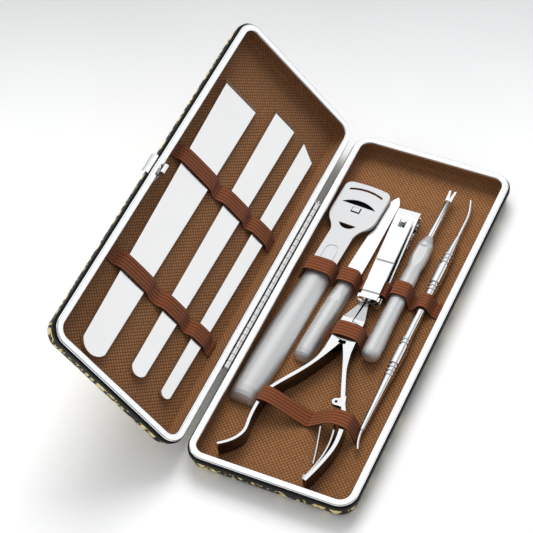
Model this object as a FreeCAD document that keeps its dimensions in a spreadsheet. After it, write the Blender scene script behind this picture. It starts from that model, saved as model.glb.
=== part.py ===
import FreeCAD, Part
import math
import os
import types

import Sketcher

# A pedicure knife set in a flat case of two trays. The base tray lies on its back and carries the small
# tools, the lid tray stands open on a long hinge and carries three knives, and elastic straps hold them all.
# Millimetres and degrees. X runs from the hinge to the free side of the base tray, Y along the hinge, Z up,
# and the origin is the middle of the base tray's underside.

SIZES = {
    # Case halves, both the same: chrome rim, piping, leatherette skin, moulded shell and woven lining
    "case_length": 202.2,
    "case_width": 79.2,
    "half_depth": 10.7,
    "rim_width": 3.4,
    "rim_thickness": 1.2,
    "rim_corner": 8.4,
    "rim_round": 0.6,
    "rim_lip": 0.3,
    "piping_height": 2.6,
    "piping_proud": 0.7,
    "piping_round": 0.6,
    "skin_thickness": 0.7,
    "shell_thickness": 1.0,
    "lining_thickness": 0.6,
    "edge_round": 4.2,
    # Hinge along the back
    "open_angle": 132.2,
    "closing_gap": 0.3,
    "hinge_offset": 1.45,
    "hinge_length": 106.0,
    "knuckle_radius": 1.15,
    "knuckle_pitch": 4.0,
    "knuckle_gap": 0.3,
    "hinge_pin_radius": 0.5,
    "hinge_pin_clearance": 0.05,
    "leaf_thickness": 0.5,
    "leaf_height": 4.2,
    # Latch in the middle of the lid's free side
    "button_length": 11.0,
    "button_height": 3.0,
    "button_proud": 2.2,
    "button_stroke": 1.2,
    "button_stem": 6.0,
    "button_stem_height": 1.4,
    "hook_length": 5.0,
    "hook_thickness": 0.9,
    "hook_nose": 0.9,
    "hook_nose_height": 1.0,
    "hook_clearance": 0.3,
    "latch_clearance": 0.3,
    "spring_length": 28.0,
    "spring_height": 2.6,
    "spring_thickness": 0.4,
    # Elastic straps
    "strap_width": 8.5,
    "strap_thickness": 0.9,
    "strap_clearance": 0.45,
    "strap_end_gap": 2.1,
    "lie_gap": 0.3,
    # Knives in the lid
    "knife_thickness": 2.0,
    "knife_edge": 0.3,
    "wide_knife_bevel": 3.2,
    "wide_knife_turn": 0.75,
    "medium_knife_bevel": 3.0,
    "medium_knife_turn": -0.05,
    "narrow_knife_skew": 5.0,
    "narrow_knife_bevel": 2.2,
    "narrow_knife_turn": -0.6,
    # Corn plane
    "plane_turn": -2.75,
    "plane_handle_height": 7.4,
    "plane_neck_insert": 6.0,
    "plane_head_crown": 60.0,
    "plane_head_corner": 4.0,
    "plane_plate_height": 3.3,
    "plane_plate_thickness": 1.3,
    "plane_plate_round": 0.45,
    "plane_slot_width": 3.2,
    "plane_slit_width": 1.3,
    "plane_crescent_width": 2.8,
    "plane_window_width": 4.6,
    "plane_window_length": 3.6,
    "plane_blade_width": 9.0,
    "plane_blade_thickness": 0.3,
    "plane_clamp_thickness": 1.0,
    "plane_tongue_gap": 0.5,
    "plane_tongue_proud": 0.5,
    # Pointed nail file
    "file_turn": -2.86,
    "file_handle_height": 6.2,
    "file_facet_depth": 0.9,
    "file_facet_length": 11.0,
    "file_tang": 6.0,
    "file_blade_height": 0.9,
    "file_blade_thickness": 1.1,
    # Nail clipper
    "clipper_turn": 1.7,
    "clipper_arm_thickness": 1.6,
    "clipper_arm_gap": 0.3,
    "clipper_spread": 3.4,
    "clipper_jaw_height": 3.2,
    "clipper_jaw_gap": 1.8,
    "clipper_corner": 2.0,
    "clipper_pin_radius": 1.3,
    "clipper_pin_clearance": 0.3,
    "clipper_rivet_place": 4.0,
    "clipper_rivet_radius": 1.5,
    "lever_thickness": 1.2,
    "lever_heel": 1.2,
    "lever_lift": 1.2,
    "lever_tail_height": 6.3,
    "lever_lip_length": 2.4,
    "lever_crease": 0.55,
    # Cuticle fork
    "fork_shaft_radius": 1.5,
    "fork_shaft_insert": 6.0,
    "fork_prong_length": 7.0,
    "fork_prong_spread": 3.6,
    "fork_prong_thickness": 1.2,
    "fork_facet_depth": 0.6,
    # Double-ended pick
    "pick_tip_radius": 0.8,
    "pick_tip_insert": 3.0,
    "pick_tail_kick": 2.2,
    "pick_head_kick": 2.4,
    # Cuticle nipper
    "nipper_height": 8.4,
    "nipper_lap_gap": 0.3,
    "nipper_jaw_gap": 1.1,
    "nipper_handle_thickness": 1.9,
    "nipper_leaf_thickness": 0.7,
    "nipper_leaf_height": 6.0,
    "nipper_lug_radius": 1.9,
    "nipper_lug_hole": 0.7,
    "nipper_lug_thickness": 2.0,
    "nipper_pivot_radius": 2.2,
    "nipper_pivot_clearance": 0.15,
    "nipper_pivot_proud": 0.3,
    "nipper_slot_width": 0.8,
    "nipper_screw_radius": 1.1,
    # Fits and cuts
    "fit_gap": 0.05,
    "overrun": 1.0,
}

doc = FreeCAD.newDocument("pedicure_knife_set")
sheet = doc.addObject("Spreadsheet::Sheet", "Sizes")
for row, (alias, number) in enumerate(SIZES.items(), start=1):
    sheet.set(f"A{row}", alias)
    sheet.set(f"B{row}", str(number))
    sheet.setAlias(f"B{row}", alias)
doc.recompute()


class Size:
    """A length worked out from the sheet: its value now, and the formula that gives it."""

    def __init__(self, value, formula):
        self.value = value
        self.formula = formula

    def __add__(self, other):
        return Size(self.value + other.value, f"({self.formula} + {other.formula})")

    def __sub__(self, other):
        return Size(self.value - other.value, f"({self.formula} - {other.formula})")

    def __mul__(self, other):
        other = as_size(other)
        return Size(self.value * other.value, f"({self.formula} * {other.formula})")

    def __truediv__(self, other):
        other = as_size(other)
        return Size(self.value / other.value, f"({self.formula} / {other.formula})")

    def __neg__(self):
        return Size(-self.value, f"(-1 * {self.formula})")


def as_size(number):
    """A share as a plain number of a formula."""
    return number if isinstance(number, Size) else Size(float(number), repr(float(number)))


ZERO = Size(0.0, "0")
size = types.SimpleNamespace(**{alias: Size(float(sheet.get(alias)), f"Sizes.{alias}") for alias in SIZES})
PIECES = []


def new_body(label, place):
    """Start one piece of the set, named by its label and put in its place."""
    body = doc.addObject("PartDesign::Body", label)
    body.Label = label
    body.Placement = place
    PIECES.append(body)
    return body


def new_solid(label, shape, place):
    """Keep a free-form piece, whose shape is worked out from the sheet's sizes."""
    piece = doc.addObject("Part::Feature", label)
    piece.Label = label
    piece.Shape = shape
    piece.Placement = place
    PIECES.append(piece)
    return piece


def new_sketch(body, role, lift=ZERO):
    """Open a sketch on one of the body's own planes, lifted along the plane's normal."""
    sketch = body.newObject("Sketcher::SketchObject", f"{body.Name}_sketch")
    plane = next(feature for feature in body.Origin.OriginFeatures if feature.Role == role)
    sketch.AttachmentSupport = [(plane, "")]
    sketch.MapMode = "FlatFace"
    sketch.setExpression("AttachmentOffset.Base.z", lift.formula)
    return sketch


def pin_point(sketch, geometry, end, x, y):
    """Fix one point of the sketch at x, y."""
    for kind, length in (("DistanceX", x), ("DistanceY", y)):
        number = sketch.addConstraint(Sketcher.Constraint(kind, -1, 1, geometry, end, length.value))
        sketch.setExpression(f"Constraints[{number}]", length.formula)


def set_radius(sketch, geometry, radius):
    """Give an arc or a circle of the sketch its radius."""
    number = sketch.addConstraint(Sketcher.Constraint("Radius", geometry, radius.value))
    sketch.setExpression(f"Constraints[{number}]", radius.formula)


def arc_between(start, end, radius):
    """The shorter arc from start to end: a positive radius turns left on the way, a negative one right."""
    chord = end - start
    middle = (start + end) / 2
    left = FreeCAD.Vector(-chord.y, chord.x, 0).normalize()
    away = math.sqrt(radius ** 2 - (chord.Length / 2) ** 2)
    centre = middle + left * math.copysign(away, radius)
    angles = [math.atan2(point.y - centre.y, point.x - centre.x) for point in (start, end)]
    if radius < 0:
        angles.reverse()
    circle = Part.Circle(centre, FreeCAD.Vector(0, 0, 1), abs(radius))
    return Part.ArcOfCircle(circle, angles[0], angles[1])


def outline(sketch, corners, closed=True):
    """Run through corners (x, y), and back if closed. A third value is the radius of the arc from there."""
    first = sketch.GeometryCount
    ends = []
    runs = len(corners) if closed else len(corners) - 1
    for number, corner in enumerate(corners[:runs]):
        after = corners[(number + 1) % len(corners)]
        start = FreeCAD.Vector(corner[0].value, corner[1].value, 0)
        end = FreeCAD.Vector(after[0].value, after[1].value, 0)
        bend = corner[2].value if len(corner) > 2 else 0.0
        sketch.addGeometry(arc_between(start, end, bend) if bend else Part.LineSegment(start, end), False)
        ends.append((2, 1) if bend < 0 else (1, 2))
    for number, corner in enumerate(corners[:runs]):
        pin_point(sketch, first + number, ends[number][0], corner[0], corner[1])
        after = (number + 1) % len(corners)
        if after < runs:
            joint = (first + number, ends[number][1], first + after, ends[after][0])
            sketch.addConstraint(Sketcher.Constraint("Coincident", *joint))
        else:
            pin_point(sketch, first + number, ends[number][1], corners[after][0], corners[after][1])
        if len(corner) > 2:
            set_radius(sketch, first + number, corner[2] if corner[2].value > 0 else -corner[2])


def circle(sketch, x, y, radius):
    """Add a circle about x, y."""
    centre = FreeCAD.Vector(x.value, y.value, 0)
    geometry = sketch.addGeometry(Part.Circle(centre, FreeCAD.Vector(0, 0, 1), radius.value), False)
    pin_point(sketch, geometry, 3, x, y)
    set_radius(sketch, geometry, radius)


def rectangle(sketch, left, right, low, high):
    """Add a rectangle between its four sides."""
    outline(sketch, [(left, low), (right, low), (right, high), (left, high)])


def rounded_rectangle(sketch, width, length, corner, middle=ZERO):
    """Add a rectangle with round corners about a middle on the sketch's upright axis."""
    x = width / 2
    high = middle + length / 2
    low = middle - length / 2
    outline(sketch, [
        (x, low + corner), (x, high - corner, corner),
        (x - corner, high), (corner - x, high, corner),
        (-x, high - corner), (-x, low + corner, corner),
        (corner - x, low), (x - corner, low, corner),
    ])


def pad(body, sketch, length, both_ways=False, reverse=False):
    """Raise a sketch into a solid."""
    feature = body.newObject("PartDesign::Pad", f"{body.Name}_pad")
    feature.Profile = sketch
    feature.setExpression("Length", length.formula)
    feature.SideType = "Symmetric" if both_ways else "One side"
    feature.Reversed = reverse
    doc.recompute()
    return feature


def pocket(body, sketch, length, both_ways=False, reverse=False):
    """Cut a sketch out of the solid, and make sure that it met the solid."""
    before = body.Shape.Volume
    feature = body.newObject("PartDesign::Pocket", f"{body.Name}_pocket")
    feature.Profile = sketch
    feature.setExpression("Length", length.formula)
    feature.SideType = "Symmetric" if both_ways else "One side"
    feature.Reversed = reverse
    doc.recompute()
    if not body.Shape.Volume < before:
        raise RuntimeError(f"{body.Label}: a cut met nothing")
    return feature


def turn(body, sketch):
    """Turn a half profile about the sketch's upright axis."""
    feature = body.newObject("PartDesign::Revolution", f"{body.Name}_turned")
    feature.Profile = sketch
    feature.ReferenceAxis = (sketch, ["V_Axis"])
    feature.Angle = 360
    doc.recompute()
    return feature


def loft(body, sketches):
    """Draw a skin through a row of sections and close it."""
    feature = body.newObject("PartDesign::AdditiveLoft", f"{body.Name}_loft")
    feature.Profile = sketches[0]
    feature.Sections = sketches[1:]
    feature.Ruled = True
    doc.recompute()
    return feature


def round_edges(body, chosen, radius):
    """Round the edges for which chosen(edge) holds."""
    edges = enumerate(body.Tip.Shape.Edges, start=1)
    names = [f"Edge{number}" for number, edge in edges if chosen(edge)]
    base = body.Tip
    feature = body.newObject("PartDesign::Fillet", f"{body.Name}_round")
    feature.Base = (base, names)
    feature.setExpression("Radius", radius.formula)
    doc.recompute()
    return feature


def hollow_out(body, top, wall):
    """Leave a wall of even thickness inside a solid, open at its top face."""
    base = body.Tip
    faces = enumerate(base.Shape.Faces, start=1)
    name = next(f"Face{number}" for number, face in faces if face.BoundBox.ZMin > top.value - NEAR)
    feature = body.newObject("PartDesign::Thickness", f"{body.Name}_wall")
    feature.Base = (base, [name])
    feature.setExpression("Value", wall.formula)
    feature.Reversed = True
    doc.recompute()
    return feature


NEAR = 1e-4


def at_height(height):
    """Choose the edges that lie flat at one height."""
    return lambda edge: all(abs(vertex.Z - height.value) < NEAR for vertex in edge.Vertexes) and (
        abs(edge.BoundBox.ZLength) < NEAR)


# Levels and places that the halves share, and the lengths of the tools, which fit the tray
lining_top = size.skin_thickness + size.shell_thickness + size.lining_thickness
rim_under = size.half_depth - size.rim_thickness
piping_low = rim_under - size.piping_height
wall_stack = size.rim_lip + lining_top
tray_x = size.case_width / 2 - wall_stack
tray_y = size.case_length / 2 - wall_stack
opening_x = size.case_width / 2 - size.rim_width
ALONG_SHARES = {
    "wide_knife_length_share": 1.6548, "medium_knife_length_share": 1.665,
    "narrow_knife_length_share": 1.6396, "plane_length_share": 1.3912,
    "plane_handle_length_share": 0.8278, "plane_head_length_share": 0.3452, "file_length_share": 1.0794,
    "file_handle_length_share": 0.4956, "clipper_length_share": 0.5787,
    "clipper_pin_place_share": 0.4924, "fork_length_share": 1.0863, "fork_handle_length_share": 0.7716,
    "pick_length_share": 1.5431, "nipper_jaw_length_share": 0.2132, "nipper_handle_reach_share": 0.8223}
ACROSS_SHARES = {
    "wide_knife_head_share": 0.56216, "wide_knife_tail_share": 0.35676,
    "medium_knife_head_share": 0.36216, "medium_knife_tail_share": 0.22162,
    "narrow_knife_head_share": 0.24324, "narrow_knife_tail_share": 0.15135,
    "plane_handle_width_share": 0.38919, "plane_neck_width_share": 0.32432,
    "plane_head_width_share": 0.64865, "plane_slot_length_share": 0.47297,
    "plane_crescent_length_share": 0.23514, "plane_blade_length_share": 0.51351,
    "plane_clamp_diameter_share": 0.51351, "file_handle_width_share": 0.24054,
    "file_blade_width_share": 0.21622, "clipper_width_share": 0.2973, "lever_width_share": 0.23243,
    "lever_lip_width_share": 0.28649, "fork_handle_radius_share": 0.10541,
    "fork_tail_radius_share": 0.11892, "pick_grip_radius_share": 0.07297, "pick_radius_share": 0.05676,
    "pick_bead_radius_share": 0.06892, "nipper_handle_spread_share": 2.18919,
    "nipper_joint_radius_share": 0.15135}
tool = types.SimpleNamespace()
for name, share in ALONG_SHARES.items():
    setattr(tool, name.removesuffix("_share"), tray_y * share)
for name, share in ACROSS_SHARES.items():
    setattr(tool, name.removesuffix("_share"), tray_x * share)
hinge_x = -(size.case_width / 2 + size.hinge_offset)
hinge_z = size.half_depth + size.closing_gap / 2

base_place = FreeCAD.Placement()
lid_swing = FreeCAD.Rotation(FreeCAD.Vector(0, 1, 0), 180 - size.open_angle.value)
lid_centre = FreeCAD.Vector(hinge_x.value, 0, hinge_z.value)
lid_flat = FreeCAD.Placement(FreeCAD.Vector(2 * hinge_x.value, 0, 0), FreeCAD.Rotation())
lid_place = FreeCAD.Placement(FreeCAD.Vector(), lid_swing, lid_centre) * lid_flat


def lying(tray, place_shares, turned=ZERO):
    """The place of a tool that lies on a tray's lining, turned about the upright."""
    floor = lining_top + size.lie_gap
    spot = FreeCAD.Vector(tray_x.value * place_shares[0], tray_y.value * place_shares[1], floor.value)
    return tray * FreeCAD.Placement(spot, FreeCAD.Rotation(FreeCAD.Vector(0, 0, 1), turned.value))


# Case halves


def latch_window(body, low, high, length):
    """Open the free long wall of the lid for the latch."""
    sketch = new_sketch(body, "YZ_Plane")
    rectangle(sketch, -length / 2, length / 2, low, high)
    pocket(body, sketch, size.case_width)


def rim_frame(label, place, notched):
    """The flat chrome rim that closes a tray's edge, with a bite for the hook on the lid."""
    body = new_body(label, place)
    sketch = new_sketch(body, "XY_Plane", rim_under)
    rounded_rectangle(sketch, size.case_width, size.case_length, size.rim_corner)
    rounded_rectangle(
        sketch, opening_x * 2, size.case_length - size.rim_width * 2, size.rim_corner - size.rim_width)
    pad(body, sketch, size.rim_thickness)
    round_edges(body, at_height(size.half_depth), size.rim_round)
    if notched:
        bite = new_sketch(body, "XY_Plane", size.half_depth + size.overrun)
        reach = opening_x + size.hook_nose + size.latch_clearance
        half = size.hook_length / 2 + size.latch_clearance
        rectangle(bite, -reach, size.hook_thickness - opening_x, -half, half)
        pocket(body, bite, size.rim_thickness + size.overrun * 2)


def piping(label, place, open_for_latch):
    """The plain black piping under the rim, a little proud of it."""
    body = new_body(label, place)
    sketch = new_sketch(body, "XY_Plane", piping_low)
    bulge = size.piping_proud * 2
    inside = (size.rim_lip + size.skin_thickness) * 2
    rounded_rectangle(
        sketch, size.case_width + bulge, size.case_length + bulge, size.rim_corner + size.piping_proud)
    rounded_rectangle(
        sketch, size.case_width - inside, size.case_length - inside, size.rim_corner - inside / 2)
    pad(body, sketch, size.piping_height)
    outer = size.case_width.value / 2 + size.piping_proud.value
    long_side = size.case_length.value / 2 + size.piping_proud.value
    flat_and_outer = (lambda edge: edge.BoundBox.ZLength < NEAR and is_outer(edge, outer, long_side))
    round_edges(body, flat_and_outer, size.piping_round)
    if open_for_latch:
        latch_window(body, button_low - size.latch_clearance, button_low + size.button_height
                     + size.latch_clearance, size.button_length + size.latch_clearance * 2)


def is_outer(edge, half_x, half_y):
    """True for an edge of the outer loop of a ring that reaches half_x and half_y."""
    box = edge.BoundBox
    across = max(abs(box.XMin), abs(box.XMax))
    along = max(abs(box.YMin), abs(box.YMax))
    return across > half_x - NEAR or along > half_y - NEAR


def pan(label, place, inset, floor, top, wall):
    """One of the three nested pans of a tray, with round lower edges."""
    body = new_body(label, place)
    sketch = new_sketch(body, "XY_Plane", floor)
    rounded_rectangle(
        sketch, size.case_width - inset * 2, size.case_length - inset * 2, size.rim_corner - inset)
    pad(body, sketch, top - floor)
    bend = size.edge_round - floor
    round_edges(body, at_height(floor), bend)
    hollow_out(body, top, wall)
    return body


button_low = rim_under - size.latch_clearance - size.button_height
stem_low = button_low + (size.button_height - size.button_stem_height) / 2
stem_high = stem_low + size.button_stem_height


def case_half(name, place, has_latch):
    """One tray of the case: rim, piping, leatherette skin, shell and lining."""
    rim_frame(f"{name}_rim", place, has_latch)
    piping(f"{name}_piping", place, has_latch)
    skin = pan(f"{name}_leatherette", place, size.rim_lip, ZERO, piping_low, size.skin_thickness)
    shell = pan(f"{name}_shell", place, size.rim_lip + size.skin_thickness, size.skin_thickness, rim_under,
                size.shell_thickness)
    lining = pan(f"{name}_lining", place, size.rim_lip + size.skin_thickness + size.shell_thickness,
                 size.skin_thickness + size.shell_thickness, rim_under, size.lining_thickness)
    if has_latch:
        gap = size.latch_clearance
        wide = size.button_stem + gap * 2
        latch_window(shell, stem_low - gap, stem_high + gap, wide)
        latch_window(lining, stem_low - gap, stem_high + gap, wide)
        if button_low.value - gap.value < piping_low.value:
            latch_window(skin, button_low - gap, piping_low + size.overrun, size.button_length + gap * 2)


# Hinge


def hinge_leaf(label, place, side, first_share, count):
    """A leaf of the long hinge: a thin plate on the piping, with every second knuckle, beside its tray."""
    body = new_body(label, place)
    face = (size.case_width / 2 + size.piping_proud) * side
    back = face + size.leaf_thickness * side
    left, right = (face, back) if side > 0 else (back, face)
    plate_top = hinge_z - size.knuckle_radius - size.knuckle_gap
    plate = new_sketch(body, "XZ_Plane")
    rectangle(plate, left, right, plate_top - size.leaf_height, plate_top)
    pad(body, plate, size.hinge_length, both_ways=True)
    start = size.hinge_length / 2 - size.knuckle_pitch * first_share
    barrel_length = size.knuckle_pitch - size.knuckle_gap
    middle = (size.case_width / 2 + size.hinge_offset) * side
    web = new_sketch(body, "XZ_Plane", start)
    reach = size.knuckle_radius * web_share
    rectangle(web, left, right, plate_top - size.knuckle_gap, hinge_z - reach)
    web_pad = pad(body, web, barrel_length, reverse=True)
    barrel = new_sketch(body, "XZ_Plane", start)
    circle(barrel, middle, hinge_z, size.knuckle_radius)
    circle(barrel, middle, hinge_z, size.hinge_pin_radius + size.hinge_pin_clearance)
    barrel_pad = pad(body, barrel, barrel_length, reverse=True)
    row_of = body.newObject("PartDesign::LinearPattern", f"{body.Name}_knuckles")
    row_of.Originals = [web_pad, barrel_pad]
    row_of.Direction = (plate, ["N_Axis"])
    row_of.setExpression("Length", (size.knuckle_pitch * (2.0 * (count - 1))).formula)
    row_of.Occurrences = count
    row_of.Reversed = True
    body.Tip = row_of
    doc.recompute()


web_share = 0.55


def hinge():
    """The two leaves and the pin through their knuckles."""
    knuckles = int(size.hinge_length.value // size.knuckle_pitch.value)
    hinge_leaf("hinge_leaf_base", base_place, -1, 0.0, (knuckles + 1) // 2)
    hinge_leaf("hinge_leaf_lid", lid_place, 1, 1.0, knuckles // 2)
    body = new_body("hinge_pin", base_place)
    sketch = new_sketch(body, "XZ_Plane")
    circle(sketch, hinge_x, hinge_z, size.hinge_pin_radius)
    pad(body, sketch, size.hinge_length, both_ways=True)


case_half("base", base_place, False)
case_half("lid", lid_place, True)
hinge()


# Latch


def latch():
    """The push button, its hook and the leaf that presses them outwards."""
    gap = size.latch_clearance
    shell_face = size.case_width / 2 - size.rim_lip - size.skin_thickness
    cap_face = size.case_width / 2 + size.piping_proud + size.button_proud
    cap_back = shell_face + size.button_stroke + gap
    hook_face = opening_x - size.hook_clearance
    hook_back = hook_face - size.hook_thickness
    body = new_body("latch_button", lid_place)
    cap = new_sketch(body, "YZ_Plane", -cap_face)
    cap_half = size.button_length / 2
    rectangle(cap, -cap_half, cap_half, button_low, button_low + size.button_height)
    pad(body, cap, cap_face - cap_back)
    round_edges(body, lambda edge: edge.BoundBox.XMax < NEAR - cap_face.value, size.piping_round)
    stem = new_sketch(body, "YZ_Plane", -cap_back)
    rectangle(stem, -size.button_stem / 2, size.button_stem / 2, stem_low, stem_high)
    pad(body, stem, cap_back - hook_face)

    hook = new_body("latch_hook", lid_place)
    nose_low = size.half_depth + size.closing_gap + size.rim_thickness + size.hook_clearance
    nose_high = nose_low + size.hook_nose_height
    nose_tip = hook_face + size.hook_nose
    profile = new_sketch(hook, "XZ_Plane")
    outline(profile, [
        (-hook_face, stem_low), (-hook_back, stem_low), (-hook_back, nose_high), (-hook_face, nose_high),
        (-nose_tip, nose_low + size.hook_nose_height * nose_flat_share), (-nose_tip, nose_low),
        (-hook_face, nose_low)])
    pad(hook, profile, size.hook_length, both_ways=True)

    leaf = new_body("latch_spring", lid_place)
    leaf_low = (stem_low + stem_high - size.spring_height) / 2
    bow = new_sketch(leaf, "XY_Plane", leaf_low)
    foot = size.spring_length / 2
    sole = foot - size.hook_length / 2
    half = size.hook_length / 2
    thick = size.spring_thickness
    outer = [(-tray_x, -foot), (-tray_x, -sole), (-hook_back, -half), (-hook_back, half), (-tray_x, sole),
             (-tray_x, foot)]
    inner = [(x + thick, y) for x, y in reversed(outer)]
    outline(bow, inner + outer)
    pad(leaf, bow, size.spring_height)


nose_flat_share = 0.3


# Knives, held in the lid


def knife(label, place, length, head, tail, skew, bevel):
    """A flat steel knife with a round tail, which widens to a ground cutting end."""
    body = new_body(label, place)
    plan = new_sketch(body, "XY_Plane")
    rise = tail * knife_tail_rise_share
    outline(plan, [
        (tail / 2, rise), (head / 2, length - skew), (-head / 2, length),
        (-tail / 2, rise, dome_radius(tail / 2, rise))])
    pad(body, plan, size.knife_thickness)
    grind = new_sketch(body, "YZ_Plane")
    lean = math.atan2(skew.value, head.value)
    grind.AttachmentOffset = FreeCAD.Placement(
        FreeCAD.Vector(), FreeCAD.Rotation(FreeCAD.Vector(0, 1, 0), -math.degrees(lean)))
    grind.setExpression("AttachmentOffset.Base.x", (length - skew / 2).formula)
    above = size.knife_thickness + size.overrun
    outline(grind, [
        (-bevel, size.knife_thickness), (ZERO, size.knife_edge), (size.overrun, size.knife_edge),
        (size.overrun, above), (-bevel, above)])
    pocket(body, grind, head * wide_cut_share, both_ways=True)


knife_tail_rise_share = 0.34
wide_cut_share = 4.0
WIDE_KNIFE_SHARES = (-0.446, -0.934)
MEDIUM_KNIFE_SHARES = (0.203, -0.853)
NARROW_KNIFE_SHARES = (0.668, -0.838)


def knives():
    """The wide, medium and narrow knife, side by side."""
    knife("knife_wide", lying(lid_place, WIDE_KNIFE_SHARES, size.wide_knife_turn), tool.wide_knife_length,
          tool.wide_knife_head, tool.wide_knife_tail, ZERO, size.wide_knife_bevel)
    knife("knife_medium", lying(lid_place, MEDIUM_KNIFE_SHARES, size.medium_knife_turn),
          tool.medium_knife_length, tool.medium_knife_head, tool.medium_knife_tail, ZERO,
          size.medium_knife_bevel)
    knife("knife_narrow", lying(lid_place, NARROW_KNIFE_SHARES, size.narrow_knife_turn),
          tool.narrow_knife_length, tool.narrow_knife_head, tool.narrow_knife_tail, size.narrow_knife_skew,
          size.narrow_knife_bevel)


# Corn plane


def dome_section(body, along, width, height, wall_share):
    """An upright section with a flat foot, short sides and a domed top."""
    sketch = new_sketch(body, "XZ_Plane", -along)
    side = height * wall_share
    outline(sketch, [
        (-width / 2, ZERO), (width / 2, ZERO),
        (width / 2, side, dome_radius(width / 2, height - side)), (-width / 2, side)])
    return sketch


def dome_radius(half_width, rise):
    """The radius of an arc of that half width and rise."""
    return (half_width * half_width + rise * rise) / (rise * 2.0)


def domed_handle(label, place, length, width, height, station_shares):
    """A handle with a domed back, drawn through sections given as shares of its length, width and height."""
    body = new_body(label, place)
    loft(body, [
        dome_section(body, length * along, width * across, height * up, handle_wall_share)
        for along, across, up in station_shares])
    return body


def tang_slot(body, length, depth, half_width, low, high):
    """A slot in a handle's front end for the tang of its blade."""
    slot = new_sketch(body, "XZ_Plane", -(length + size.overrun))
    rectangle(slot, -half_width, half_width, low, high)
    pocket(body, slot, depth + size.overrun, reverse=True)


handle_wall_share = 0.42
tang_share = 0.6
PLANE_SHARES = (-0.7998, -0.635)
PLANE_HANDLE_SHARES = (
    (0.0, 0.68, 0.4), (0.006, 0.77, 0.58), (0.016, 0.85, 0.76), (0.035, 0.9, 0.89), (0.07, 0.93, 0.96),
    (0.14, 0.955, 0.99), (0.3, 1.0, 1.0),
    (0.5, 1.0, 1.0), (0.75, 0.95, 0.96), (1.0, 0.86, 0.86))
hollow_start_share = 0.12
hollow_end_share = 0.86
hollow_width_share = 0.62
hollow_height_share = 0.6
shoulder_width_share = 0.5
shoulder_half_share = 0.2
shoulder_end_share = 0.4
shoulder_bend_share = 0.36
slot_place_share = 0.585
slit_place_share = 0.815
slit_length_share = 0.98
slit_rise_share = 0.1
crescent_place_share = 0.222
window_place_share = 0.45
oval_place_share = 0.8
oval_width_share = 0.55
oval_length_share = 1.05
oval_corner_share = 0.49
oval_line_share = 0.07
oval_depth_share = 0.2


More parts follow.
